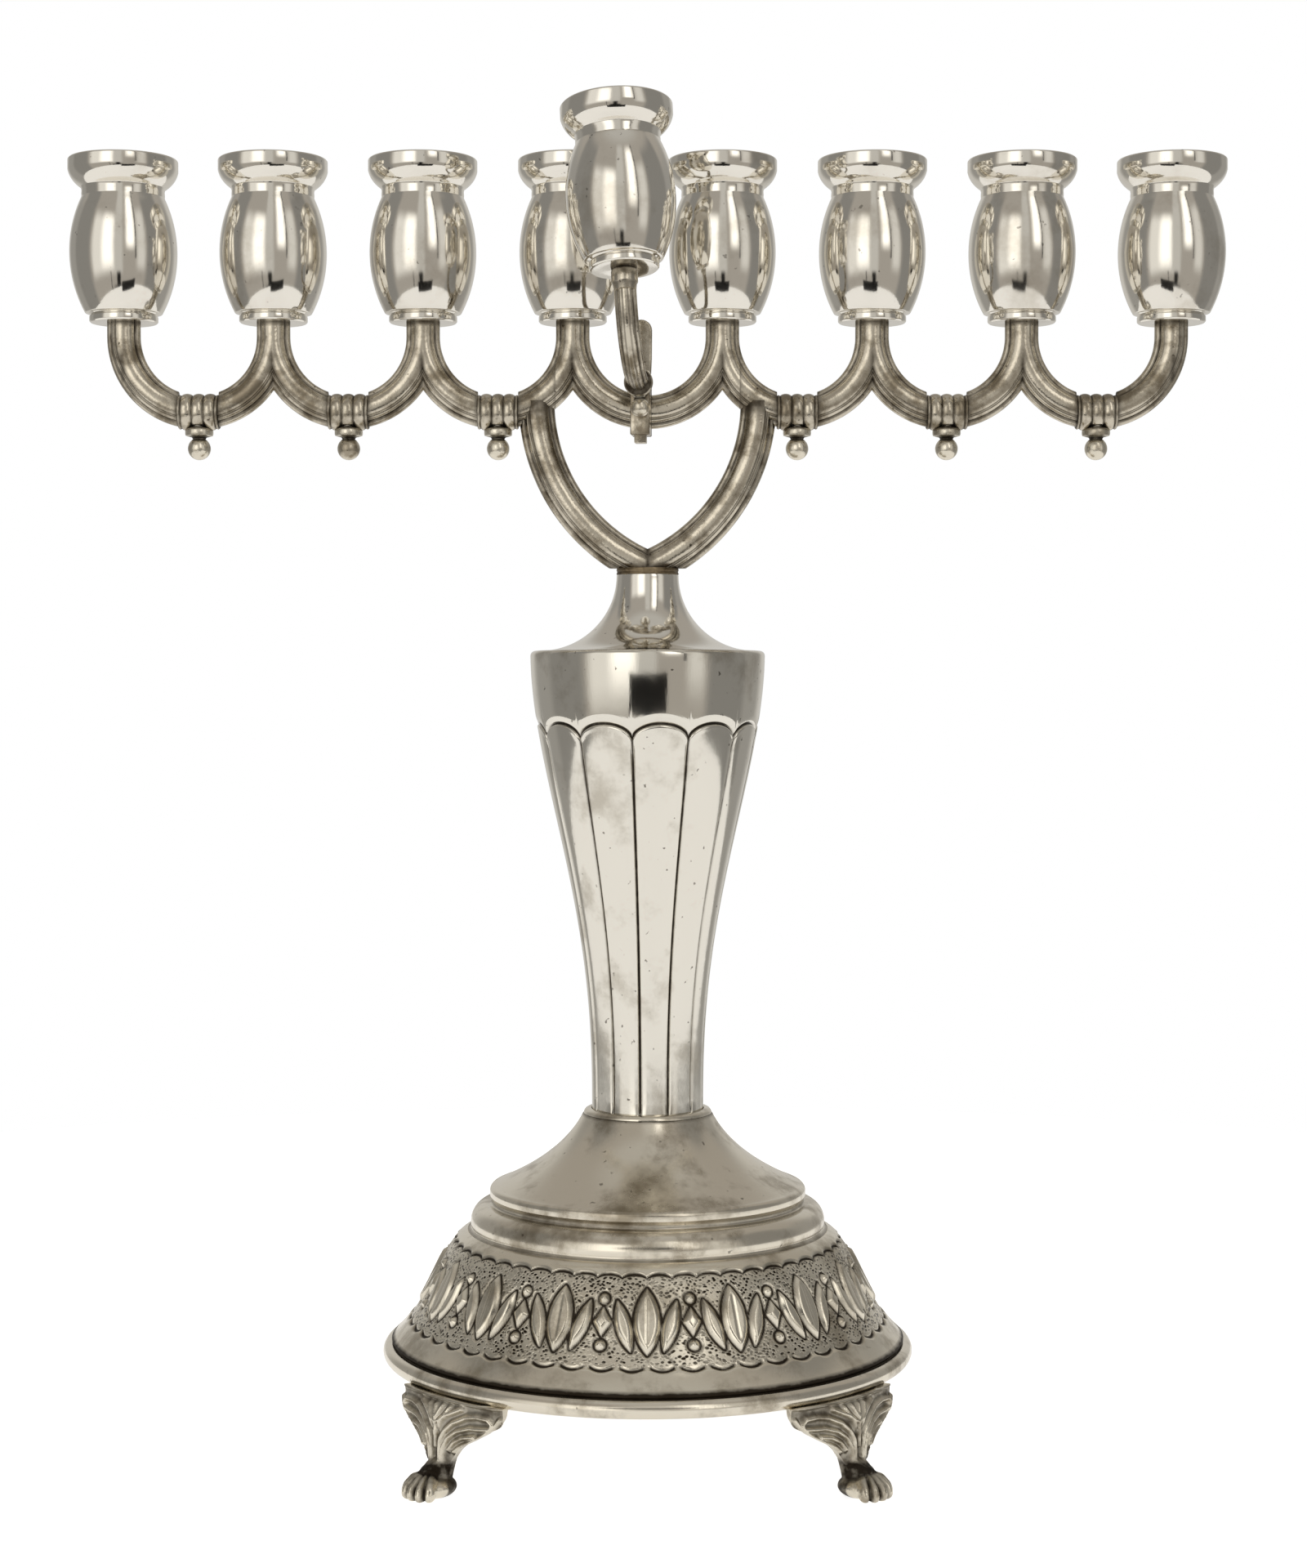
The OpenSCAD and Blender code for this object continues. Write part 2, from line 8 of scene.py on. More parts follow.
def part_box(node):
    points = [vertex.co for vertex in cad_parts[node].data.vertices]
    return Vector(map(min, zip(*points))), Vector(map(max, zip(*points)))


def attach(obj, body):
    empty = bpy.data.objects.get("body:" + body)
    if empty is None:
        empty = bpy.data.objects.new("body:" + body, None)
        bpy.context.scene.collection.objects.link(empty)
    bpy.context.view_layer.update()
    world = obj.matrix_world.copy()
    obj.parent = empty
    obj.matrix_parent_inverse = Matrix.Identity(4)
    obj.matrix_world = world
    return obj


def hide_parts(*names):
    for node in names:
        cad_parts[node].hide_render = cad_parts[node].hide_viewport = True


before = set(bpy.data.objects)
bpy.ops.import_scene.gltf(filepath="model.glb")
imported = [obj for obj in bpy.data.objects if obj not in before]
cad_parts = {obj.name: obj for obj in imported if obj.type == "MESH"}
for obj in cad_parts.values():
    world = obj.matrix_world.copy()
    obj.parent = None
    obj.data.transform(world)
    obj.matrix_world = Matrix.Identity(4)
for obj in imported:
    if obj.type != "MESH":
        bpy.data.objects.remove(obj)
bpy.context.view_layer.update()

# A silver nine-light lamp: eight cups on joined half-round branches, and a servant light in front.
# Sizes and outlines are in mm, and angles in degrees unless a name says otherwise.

MM = 0.001
FULL_TURN = 2 * math.pi
LOW, HIGH = 0, 1        # a node's two corners
MERGE_GAP = 0.002       # points closer than this are one


def frame_size(node, corner, axis):
    """One side of a CAD node's box."""
    return round(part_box(node)[corner]["xyz".index(axis)] / MM, 2)


# Sizes taken from the frame
FOOT_H = frame_size("rim_ring", LOW, "z")
RIM_TOP_Z = frame_size("rim_ring", HIGH, "z")
RIM_R = round(frame_size("rim_ring", HIGH, "x"), 1)
SEAT_Z = frame_size("stem_shell", LOW, "z")
STEM_TOP_Z = frame_size("stem_shell", HIGH, "z")
STEM_H = round(STEM_TOP_Z - SEAT_Z, 2)
NECK_TOP_Z = frame_size("neck_shell", HIGH, "z")
NECK_H = round(NECK_TOP_Z - STEM_TOP_Z, 2)
CUP_Z = frame_size("cup_1", LOW, "z")
CUP_PITCH = round(frame_size("cup_2", LOW, "x") - frame_size("cup_1", LOW, "x"), 2)
COLLAR_HALF = round((frame_size("collar_1_2", HIGH, "x") - frame_size("collar_1_2", LOW, "x")) / 2, 2)

# Sizes that lie inside the nodes
WALL = 0.9
STUB_H = 2.8            # straight run between an arc and its cup
ARC_R = CUP_PITCH / 2
ARC_Z = round(CUP_Z - STUB_H, 2)
ARC_LOW_Z = ARC_Z - ARC_R
REED_R = 2.75
COLLAR_R = 3.75
SPLIT_X = 18.64         # where the middle casting meets the limbs
LIMB_REED_R = 2.95
LIMB_R = 36.7
LIMB_TOP_X = 22.57
LIMB_TOP_Z = 212.47
LIMB_LOW_Z = 178.6


# ---- Making pieces ----

def object_mode():
    if bpy.context.mode != "OBJECT":
        bpy.ops.object.mode_set(mode="OBJECT")


def select_only(*pieces):
    object_mode()
    bpy.ops.object.select_all(action="DESELECT")
    for piece in pieces:
        piece.select_set(True)
    if pieces:
        bpy.context.view_layer.objects.active = pieces[0]


def edit_all(piece=None):
    """Edit mode with everything selected, in this piece or in the one being edited."""
    if piece:
        select_only(piece)
        bpy.ops.object.mode_set(mode="EDIT")
    bpy.ops.mesh.select_all(action="SELECT")


def made(operator, name, **settings):
    """A new piece from one of Blender's own meshes."""
    select_only()
    operator(**settings)
    piece = bpy.context.object
    piece.name = piece.data.name = name
    return piece


def applied(piece, kind, **settings):
    """The piece after one modifier."""
    select_only(piece)
    modifier = piece.modifiers.new("step", kind)
    for key, value in settings.items():
        setattr(modifier, key, value)
    bpy.ops.object.modifier_apply(modifier=modifier.name)


def start_outline(name, points):
    """A new piece in edit mode: one edge after another through the points."""
    piece = made(bpy.ops.mesh.primitive_plane_add, name, size=MM, enter_editmode=True)
    bpy.ops.mesh.merge(type="CENTER")
    bpy.ops.transform.translate(value=Vector(points[0]) * MM)
    for a, b in zip(points, points[1:]):
        pull(Vector(b) - Vector(a))
    return piece


def start_loop(name, points):
    """A new piece in edit mode: a closed outline, all selected."""
    piece = start_outline(name, points + [points[0]])
    weld()
    return piece


def pull(step):
    """Extrudes what is selected by a step."""
    bpy.ops.mesh.extrude_region_move(TRANSFORM_OT_translate={"value": Vector(step) * MM})


def weld(gap=MERGE_GAP):
    edit_all()
    bpy.ops.mesh.remove_doubles(threshold=gap * MM)


def close_up(piece, smooth_angle=30.0):
    """Merges what meets, turns faces outwards and rounds the shading below an angle."""
    edit_all(piece)
    weld(2 * MERGE_GAP)
    bpy.ops.mesh.normals_make_consistent(inside=False)
    object_mode()
    bpy.ops.object.shade_smooth_by_angle(angle=math.radians(smooth_angle))
    return piece


def spun(name, outline, steps=96, smooth_angle=30.0):
    """A turned piece: its closed outline in (radius, height) goes once round the upright axis.
    One eighth is spun, and the other seven are copied round, which is quicker for many steps."""
    points = [(r, 0.0, z) for r, z in outline]
    piece = start_outline(name, points + [points[0]])
    sectors = 8
    edit_all()
    bpy.ops.mesh.spin(steps=steps // sectors, angle=FULL_TURN / sectors, center=(0, 0, 0), axis=(0, 0, 1))
    edit_all()
    bpy.ops.mesh.spin(steps=sectors - 1, dupli=True, angle=FULL_TURN * (sectors - 1) / sectors,
                      center=(0, 0, 0), axis=(0, 0, 1))
    return close_up(piece, smooth_angle)


def filleted(points, radius=0.25, steps=3):
    """The same closed outline with its sharp corners rounded."""
    shortest_side, sharpest_kept = 0.2, math.radians(25)
    rounded = []
    for i, point in enumerate(points):
        corner = Vector(point)
        before, after = Vector(points[i - 1]) - corner, Vector(points[(i + 1) % len(points)]) - corner
        if (min(before.length, after.length) < shortest_side
                or math.pi - before.angle(after) < sharpest_kept):
            rounded.append(tuple(corner))
            continue
        turn_angle = math.pi - before.angle(after)
        reach = min(radius * math.tan(turn_angle / 2), 0.4 * before.length, 0.4 * after.length)
        rounded += quadratic(corner + before.normalized() * reach, corner,
                             corner + after.normalized() * reach, steps)
    return rounded


def arc(centre, radius, start, end, steps):
    """Points on a circle's arc."""
    return [(centre[0] + radius * math.cos(math.radians(a)), centre[1] + radius * math.sin(math.radians(a)))
            for a in np.linspace(start, end, steps + 1)]


def quadratic(a, b, c, steps):
    a, b, c = Vector(a), Vector(b), Vector(c)
    return [tuple(a * (1 - t) ** 2 + b * 2 * t * (1 - t) + c * t * t)
            for t in np.linspace(0, 1, steps + 1)]


def cubic(a, b, c, d, steps):
    a, b, c, d = Vector(a), Vector(b), Vector(c), Vector(d)
    return [tuple(a * (1 - t) ** 3 + b * 3 * t * (1 - t) ** 2 + c * 3 * t * t * (1 - t) + d * t ** 3)
            for t in np.linspace(0, 1, steps + 1)]


def bumped(value, centre, width):
    """A soft hump of height 1 at centre."""
    return np.exp(-((value - centre) / width) ** 2)


def smooth_step(value, low, high):
    t = np.clip((value - low) / (high - low), 0, 1)
    return t * t * (3 - 2 * t)


def numbers_of(items, field, width=3):
    """One field of a mesh's points, edges or faces, as rows of an array."""
    values = np.empty(len(items) * width, float if width == 3 else np.int64)
    items.foreach_get(field, values)
    return values.reshape(-1, width)


def points_of(piece):
    return numbers_of(piece.data.vertices, "co") / MM


def move_points(piece, co):
    piece.data.vertices.foreach_set("co", (np.asarray(co) * MM).ravel())
    piece.data.update()


def mark(piece, name, values):
    """Stores one number per point for the material to read."""
    layer = piece.data.attributes.get(name) or piece.data.attributes.new(name, "FLOAT", "POINT")
    layer.data.foreach_set("value", np.clip(values, 0, 1).astype(np.float32))


def neighbour_mean(piece, values):
    """Each point's row of values, replaced by the mean of those its edges lead to."""
    a, b = numbers_of(piece.data.edges, "vertices", 2).T
    count = len(piece.data.vertices)
    degree = np.maximum(np.bincount(a, minlength=count) + np.bincount(b, minlength=count), 1)
    columns = np.asarray(values, float).reshape(count, -1).T
    total = np.stack([np.bincount(a, one[b], count) + np.bincount(b, one[a], count) for one in columns], 1)
    return (total / degree[:, None]).reshape(np.shape(values))


def copied(piece, name, place):
    """A copy with its own mesh, moved by a matrix."""
    twin = piece.copy()
    twin.data = piece.data.copy()
    twin.name = twin.data.name = name
    twin.data.transform(place)
    if place.determinant() < 0:
        twin.data.flip_normals()
    bpy.context.scene.collection.objects.link(twin)
    return twin


def shift(x=0.0, y=0.0, z=0.0):
    return Matrix.Translation(Vector((x, y, z)) * MM)


def turn(degrees, axis):
    return Matrix.Rotation(math.radians(degrees), 4, axis)


MIRRORED = Matrix.Diagonal((-1, 1, 1, 1))


def settle(piece, slot_name, material, *nodes, body="lamp"):
    """Gives a finished piece its finish and its body, and hides the CAD nodes that it stands for."""
    piece.data.materials.clear()
    piece.data.materials.append(material)
    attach(piece, body)
    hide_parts(*nodes)


def taken_away(*pieces):
    for piece in pieces:
        bpy.data.objects.remove(piece, do_unlink=True)


def cut_out(piece, cutter):
    """Takes the cutter's shape out of the piece."""
    applied(piece, "BOOLEAN", object=cutter, solver="EXACT")
    taken_away(cutter)




# ---- Materials ----

def linear(hex_colour, alpha=1.0):
    """An sRGB hex colour as the linear numbers that a socket takes."""
    channels = [int(hex_colour[i:i + 2], 16) / 255 for i in (1, 3, 5)]
    return tuple(c / 12.92 if c <= 0.04045 else ((c + 0.055) / 1.055) ** 2.4 for c in channels) + (alpha,)


def add_node(tree, kind, settings=None, links=None):
    """Adds a node: settings go to its fields by name or its sockets by place, links come from sockets."""
    node = tree.nodes.new(kind)
    for key, value in (settings or {}).items():
        if isinstance(key, str) and hasattr(node, key):
            setattr(node, key, value)
        else:
            node.inputs[key].default_value = value
    for key, source in (links or {}).items():
        tree.links.new(source, node.inputs[key])
    return node


def blended(tree, fade, under, over):
    """The colour under, covered by the colour over as far as fade says."""
    node = add_node(tree, "ShaderNodeMix", {"data_type": "RGBA"}, {0: fade})
    for place, colour in ((6, under), (7, over)):
        if isinstance(colour, str):
            node.inputs[place].default_value = linear(colour)
        else:
            tree.links.new(colour, node.inputs[place])
    return node.outputs[2]


def faded(tree, value, low, high, to_low=0.0, to_high=1.0):
    """A value brought smoothly from one range to another."""
    node = add_node(tree, "ShaderNodeMapRange", {"interpolation_type": "SMOOTHSTEP", 1: low, 2: high,
                                                 3: to_low, 4: to_high}, {0: value})
    return node.outputs[0]


def combined(tree, operation, a, b):
    node = add_node(tree, "ShaderNodeMath", {"operation": operation})
    for place, value in ((0, a), (1, b)):
        if isinstance(value, (int, float)):
            node.inputs[place].default_value = value
        else:
            tree.links.new(value, node.inputs[place])
    return node.outputs[0]


def cloud(tree, place, size_mm, detail=3.0, roughness=0.55, stretch=(1, 1, 1)):
    """Cloudy variation whose patches are about size_mm across."""
    spread = add_node(tree, "ShaderNodeMapping", {3: stretch}, {0: place})
    return add_node(tree, "ShaderNodeTexNoise", {2: 1 / (size_mm * MM), 3: detail, 4: roughness},
                    {0: spread.outputs[0]}).outputs[0]


def silver(name, metal, rough, patches, patch_colour, patch_size, specks=0.0, speck_size=1.6,
           hollow_colour="#2B2218", hollow_marks=(), scratch=0.05, scratch_size=0.35,
           scratch_stretch=(1, 1, 0.15), dents=0.0, dent_size=4.0, patch_at=(0.52, 0.72), pits=None):
    """Silver in one of its finishes: polish, thin tarnish in patches and specks, and darkening by the hollow
    marks: oxide in the hollows, and painted shade where a mark stands for a shadowed gap.
    """
    material = bpy.data.materials.new(name)
    material.use_nodes = True
    tree = material.node_tree
    shader = tree.nodes["Principled BSDF"]
    shader.inputs["Metallic"].default_value = 1.0
    place = add_node(tree, "ShaderNodeTexCoord").outputs["Object"]
    stain = faded(tree, cloud(tree, place, patch_size, 5.0, 0.62), patch_at[0], patch_at[1], 0.0, patches)
    colour = blended(tree, stain, metal, patch_colour)
    if specks:
        spots = faded(tree, cloud(tree, place, speck_size, 2.0), 0.70, 0.76, 0.0, specks)
        colour = blended(tree, spots, colour, "#3A2E20")
    wear = cloud(tree, place, 0.45 * patch_size, 4.0)
    roughness = combined(tree, "MULTIPLY_ADD", wear, 0.5 * rough)
    roughness.node.inputs[2].default_value = 0.75 * rough
    roughness = combined(tree, "ADD", roughness, combined(tree, "MULTIPLY", stain, 0.16))
    height = combined(tree, "MULTIPLY", cloud(tree, place, scratch_size, 2.0, 0.5, scratch_stretch), scratch)
    if dents:
        waves = combined(tree, "MULTIPLY", cloud(tree, place, dent_size, 1.0), dents)
        height = combined(tree, "ADD", height, waves)
    if pits:
        height, colour, roughness = pits(tree, place, height, colour, roughness)
    # the hollow marks darken the colour: oxide in grooves, creases and joints, and painted shade in the gap
    # under the base's skirt
    for mark_name, strength in hollow_marks:
        hollow = add_node(tree, "ShaderNodeAttribute", {"attribute_name": mark_name}).outputs["Fac"]
        uneven = faded(tree, cloud(tree, place, 2.5, 3.0), 0.2, 0.75, 0.65, 1.1)
        dark = combined(tree, "MULTIPLY", combined(tree, "MULTIPLY", hollow, uneven), strength)
        dark = combined(tree, "MINIMUM", dark, 0.97)
        colour = blended(tree, dark, colour, hollow_colour)
        roughness = combined(tree, "ADD", roughness, combined(tree, "MULTIPLY", dark, 0.30))
    bump = add_node(tree, "ShaderNodeBump", {0: 1.0, 1: 0.1 * MM}, {"Height": height})
    tree.links.new(colour, shader.inputs["Base Color"])
    tree.links.new(combined(tree, "MINIMUM", roughness, 0.75), shader.inputs["Roughness"])
    tree.links.new(bump.outputs[0], shader.inputs["Normal"])
    return material


def stippled_ground(tree, place, height, colour, roughness):
    """The chaser's matting between the raised leaves: rows of short punch marks, dark at their bottoms."""
    ground = add_node(tree, "ShaderNodeAttribute", {"attribute_name": "ground"}).outputs["Fac"]
    uv = add_node(tree, "ShaderNodeUVMap", {"uv_map": "band"}).outputs[0]
    jitter = add_node(tree, "ShaderNodeTexNoise", {2: 0.35, 3: 1.0}, {0: uv})
    wobble = add_node(tree, "ShaderNodeVectorMath", {"operation": "MULTIPLY_ADD", 1: (1.4, 1.4, 0.0)},
                      {0: jitter.outputs[1], 2: uv}).outputs[0]
    punches = None
    for slant in (28.0, -36.0):
        laid = add_node(tree, "ShaderNodeMapping", {2: (0, 0, math.radians(slant)), 3: (1.20, 1.50, 1)},
                        {0: wobble})
        cells = add_node(tree, "ShaderNodeTexVoronoi", {"feature": "F1", "Scale": 1.0, "Randomness": 0.55},
                         {0: laid.outputs[0]}).outputs["Distance"]
        dot = faded(tree, cells, 0.29, 0.53, 1.0, 0.0)
        field = faded(tree, add_node(tree, "ShaderNodeTexNoise", {2: 0.16, 3: 1.0}, {0: uv}).outputs[0],
                      0.44, 0.56, *((0.0, 1.0) if slant > 0 else (1.0, 0.0)))
        dot = combined(tree, "MULTIPLY", dot, field)
        punches = dot if punches is None else combined(tree, "MAXIMUM", punches, dot)
    punches = combined(tree, "MULTIPLY", punches, ground)
    deep = faded(tree, cloud(tree, place, 6.0, 3.0), 0.3, 0.55, 0.6, 1.0)
    colour = blended(tree, combined(tree, "MULTIPLY", punches, deep), colour, "#2E261B")
    height = combined(tree, "SUBTRACT", height, combined(tree, "MULTIPLY", punches, 1.3))
    roughness = combined(tree, "ADD", roughness, combined(tree, "MULTIPLY", ground, 0.10))
    return height, colour, roughness


# Sterling silver, buffed by hand: it mirrors the room, with a few brown tarnish specks
polished_silver = silver("polished_silver", "#ECE8DF", 0.085, 0.35, "#9C8F78", 16.0, specks=0.5,
                         scratch=0.035, dents=0.06, dent_size=5.0)
# The vase's sheet silver, buffed: chased lines hold dark oxide, and thin tarnish clouds its band
fluted_silver = silver("fluted_silver", "#E9E5DB", 0.09, 0.45, "#8E826C", 14.0, specks=0.75, speck_size=1.5,
                       hollow_marks=(("hollow", 1.5),), scratch=0.05, dents=0.12, dent_size=4.5)
# The base's sheet silver after years of wiping: satin, so it blurs what it mirrors, with brown clouds
satin_silver = silver("satin_silver", "#E6DFD0", 0.20, 0.75, "#7D7059", 13.0, specks=0.6, speck_size=2.0,
                      hollow_marks=(("hollow", 1.0),), scratch=0.10, dents=0.15, dent_size=3.5,
                      patch_at=(0.47, 0.70))
# The chased band: bright raised leaves, dark lines round them and a matted ground, with painted shade in the
# gap at the skirt's foot
chased_silver = silver("chased_silver", "#E8E1D1", 0.19, 0.6, "#857860", 11.0, specks=0.3, speck_size=1.6,
                       hollow_marks=(("hollow", 1.5),), scratch=0.10, dents=0.2, dent_size=2.5,
                       patch_at=(0.47, 0.70), pits=stippled_ground)
# Cast silver left to darken: brown oxide in every groove, worn bright along the reeds
oxidised_silver = silver("oxidised_silver", "#CFC7B7", 0.17, 0.8, "#6E624E", 6.0, specks=0.8, speck_size=1.2,
                         hollow_marks=(("hollow", 1.0),), scratch=0.25, scratch_size=0.5,
                         scratch_stretch=(1, 1, 1), dents=0.5, dent_size=2.2, patch_at=(0.42, 0.66))
# The feet's castings: soft worn tops, with almost black brown oxide between the leaves
cast_silver = silver("cast_silver", "#E2DBCB", 0.22, 0.7, "#7C6F59", 5.0, specks=0.6, speck_size=1.0,
                     hollow_colour="#1F170F", hollow_marks=(("hollow", 1.25),), scratch=0.30,
                     scratch_size=0.4, scratch_stretch=(1, 1, 1), dents=0.5, dent_size=1.8,
                     patch_at=(0.45, 0.68))
# The liners' thin silver, dulled by wax and flame
liner_silver = silver("liner_silver", "#D8D2C4", 0.24, 0.7, "#776B57", 7.0, specks=0.4,
                      scratch=0.12, patch_at=(0.42, 0.70))
# The collar under the heart, brown all over from old solder and flux
browned_silver = silver("browned_silver", "#8A7B63", 0.32, 0.8, "#4A3C2A", 4.0, specks=0.6, speck_size=1.0,
                        scratch=0.35, scratch_stretch=(1, 1, 1), patch_at=(0.40, 0.62))
# Plain steel of the rod, nut, washer and screws, dull from the tap and die
steel = silver("steel", "#A9A6A1", 0.34, 0.5, "#6C655C", 5.0, scratch=0.5, scratch_size=0.3,
               scratch_stretch=(0.2, 0.2, 3), patch_at=(0.45, 0.7))


# ---- Studio: a room of soft panels, a white table and a black card ----

TABLE_R = 460
TABLE_GLOW, MIRRORED_GLOW = 0.86, 0.52      # as the camera sees it, and as the silver does
CARD_SIZE, CARD_CENTRE = (160, 0, 52), (4, -250, 104)


def build_studio():
    world = bpy.data.worlds.new("studio")
    bpy.context.scene.world = world
    world.use_nodes = True
    tree = world.node_tree
    tree.nodes.clear()
    way = add_node(tree, "ShaderNodeSeparateXYZ", None,
                   {0: add_node(tree, "ShaderNodeTexCoord").outputs["Generated"]}).outputs
    towards = combined(tree, "MULTIPLY", way[1], -1.0)
    front = combined(tree, "MULTIPLY", combined(tree, "ARCTAN2", way[0], towards), 180 / math.pi)
    back = combined(tree, "MULTIPLY", combined(tree, "ARCTAN2", way[0], way[1]), 180 / math.pi)
    height = combined(tree, "MULTIPLY", combined(tree, "ARCSINE", way[2], 0.0), 180 / math.pi)

    def window(across, left, right, low, high, edge):
        mask = combined(tree, "MULTIPLY", faded(tree, across, left - edge, left + edge),
                        faded(tree, across, right - edge, right + edge, 1.0, 0.0))
        return combined(tree, "MULTIPLY", combined(
            tree, "MULTIPLY", mask, faded(tree, height, low - edge, low + edge)),
            faded(tree, height, high - edge, high + edge, 1.0, 0.0))

    def grey(value, tint="#FFFCF6"):
        r, g, b, _ = linear(tint)
        return (value * r, value * g, value * b, 1.0)

    room = add_node(tree, "ShaderNodeRGB")
    room.outputs[0].default_value = grey(0.40, "#FFF8EE")
    colour = room.outputs[0]
    panels = [
        # across, left, right, low, high, soft edge, brightness
        (back, -100, 100, -60, 30, 8, 0.34),
        (back, -34, 34, -60, 30, 10, 0.60),
        (front, -200, 200, 64, 100, 8, 0.50),
        (front, 62, 112, -40, 50, 6, 0.25),
        (front, -112, -66, -40, 50, 6, 0.26),
        (front, -60, -6, -14, 34, 6, 0.85),
        (front, -36, -12, -8, 34, 7, 1.50),
        (front, 17, 34, 8, 56, 6, 1.60),
        (front, 40, 58, -10, 40, 6, 0.72),
        (front, -9, 9, -16, 60, 4, 0.58),
        (front, 35.5, 38, -2, 60, 0.8, 0.08),
        (front, -4.5, 4.5, -40, -15, 2.5, 0.012),
        (front, -12, 12, -40, -27, 3.0, 0.012),
        (front, -18.5, -17, -36, -14, 0.6, 0.02),
        (front, -18, 18, -38, -33, 2.0, 0.02),
    ]
    for across, left, right, low, high, edge, brightness in panels:
        mask = window(across, left, right, low, high, edge)
        colour = add_node(tree, "ShaderNodeMix", {"data_type": "RGBA", 7: grey(brightness)},
                          {0: mask, 6: colour}).outputs[2]
    seen = add_node(tree, "ShaderNodeLightPath").outputs["Is Camera Ray"]
    colour = add_node(tree, "ShaderNodeMix", {"data_type": "RGBA", 7: (1, 1, 1, 1)},
                      {0: seen, 6: colour}).outputs[2]
    background = add_node(tree, "ShaderNodeBackground", {1: 1.0}, {0: colour})
    add_node(tree, "ShaderNodeOutputWorld", None, {0: background.outputs[0]})


def build_table():
    """A white paper table top: dimmer in the silver's reflections than straight on."""
    table = made(bpy.ops.mesh.primitive_circle_add, "table_top", vertices=96, radius=TABLE_R * MM,
                 fill_type="NGON")
    paper = bpy.data.materials.new("white_paper")
    paper.use_nodes = True
    tree = paper.node_tree
    shader = tree.nodes["Principled BSDF"]
    straight = add_node(tree, "ShaderNodeLightPath").outputs["Is Camera Ray"]
    glow = faded(tree, straight, 0.0, 1.0, MIRRORED_GLOW, TABLE_GLOW)
    shader.inputs["Base Color"].default_value = linear("#EDEDED")
    shader.inputs["Roughness"].default_value = 0.9
    shader.inputs["Emission Color"].default_value = (1.0, 1.0, 1.0, 1.0)
    tree.links.new(glow, shader.inputs["Emission Strength"])
    table.data.materials.append(paper)


def build_dark_card():
    """A black card in front, out of the camera's sight, for the dark patch that the vase's band mirrors."""
    card = made(bpy.ops.mesh.primitive_plane_add, "dark_card", size=MM)
    move_points(card, points_of(card)[:, [0, 2, 1]] * CARD_SIZE + CARD_CENTRE)
    black = bpy.data.materials.new("black_cloth")
    black.use_nodes = True
    shader = black.node_tree.nodes["Principled BSDF"]
    shader.inputs["Base Color"].default_value = linear("#0C0B0A")
    shader.inputs["Roughness"].default_value = 1.0
    card.data.materials.append(black)
    card.visible_camera = False


def build_camera():
    data = bpy.data.cameras.new("camera")
    camera = bpy.data.objects.new("camera", data)
    bpy.context.scene.collection.objects.link(camera)
    data.lens = 63.0
    data.sensor_width = 36.0
    data.clip_start = 0.01
    camera.location = (0.0012, -0.560, 0.1518)
    camera.rotation_euler = (math.radians(90 - 1.75), 0, 0)
    bpy.context.scene.camera = camera
    bpy.context.scene.view_settings.view_transform = "Standard"


build_studio()
build_table()
build_dark_card()
build_camera()
# ---- Cups and liners ----

CUP_COUNT = 8
SERVANT_ARM_Z = 215.3   # level of the arm's root
SERVANT_REACH = 15.0    # radius of the arm's bend
SERVANT_LEAN = 8.0
ARM_BEND_X = 10.5       # where the arm starts to bend, out from the holder's axis
ARM_TIP = 3.0           # straight run above the bend
SERVANT_HOLDER = shift(-0.9) @ turn(-95.4, "Z")
SERVANT_ARM = SERVANT_HOLDER @ shift(z=SERVANT_ARM_Z) @ turn(3.6, "X")


def servant_cup_frame():
    """Where the servant light's cup stands: its arm is turned a little and leans back."""
    sweep = math.radians(90 + SERVANT_LEAN)
    tip = shift(ARM_BEND_X + SERVANT_REACH * math.sin(sweep), 0, SERVANT_REACH * (1 - math.cos(sweep)))
    return SERVANT_ARM @ tip @ turn(-SERVANT_LEAN, "Y") @ shift(z=ARM_TIP)


def cup_outline():
    side = [(6.6, 0), (6.9, 0.3), (6.9, 1.3), (6.6, 1.5), (7.2, 1.9)]
    barrel = arc((-15.2, 14.2), 26, -28.1, 25.2, 22)
    flare = [(8.35, 25.9), (8.3, 26.6)] + quadratic((8.45, 27.2), (10.6, 28.6), (11.05, 30.7), 9)
    lip = [(11.05, 32.7), (10.8, 33)]
    inside = [(10.2, 33), (10.2, 30.9), (9.6, 30.9), (9.6, 29.9), (7.5, 27)]
    well = arc((-15.2, 14.2), 25.2, 24.8, -27.6, 14) + [(6.2, 1.0)]
    return filleted(side + barrel + flare + lip + inside + well + [(1.9, 1.0), (1.9, 0)], 0.28)


def liner_outline():
    return filleted([(1.85, 1.0), (5.2, 1.0), (5.2, 3.6), (6.35, 4.0), (6.35, 30.9), (10.15, 30.9),
                     (10.15, 31.7), (5.75, 31.7), (5.75, 4.6), (4.6, 4.2), (4.6, 1.8), (1.85, 1.8)])


def build_cups():
    cup = spun("cup", cup_outline(), 128, smooth_angle=42)
    liner = spun("candle_liner", liner_outline(), 64, smooth_angle=35)

    def stood(name, node_pair, place, body="lamp"):
        settle(copied(cup, name.format("cup"), place), "polished_silver", polished_silver, node_pair[0],
               body=body)
        settle(copied(liner, name.format("liner"), place), "liner_silver", liner_silver, node_pair[1],
               body=body)

    for k in range(1, CUP_COUNT + 1):
        # each cup is turned a little on its screw, so that no two show the same wear
        place = shift((k - (CUP_COUNT + 1) / 2) * CUP_PITCH, 0, CUP_Z) @ turn(41.0 * k, "Z")
        stood(f"{{}}_{k}_silver", (f"cup_{k}", f"candle_liner_{k}"), place)
    stood("servant_{}_silver", ("shamash_cup", "shamash_liner"), servant_cup_frame(), "shamash")
    taken_away(cup, liner)


# ---- Neck, seat ring, rim ring and the steel inside ----

ROD_HOLE_R = 2.1


def turned_piece(name, outline, steps, z, smooth_angle=50.0):
    piece = spun(name, outline, steps, smooth_angle)
    piece.data.transform(shift(z=z))
    return piece


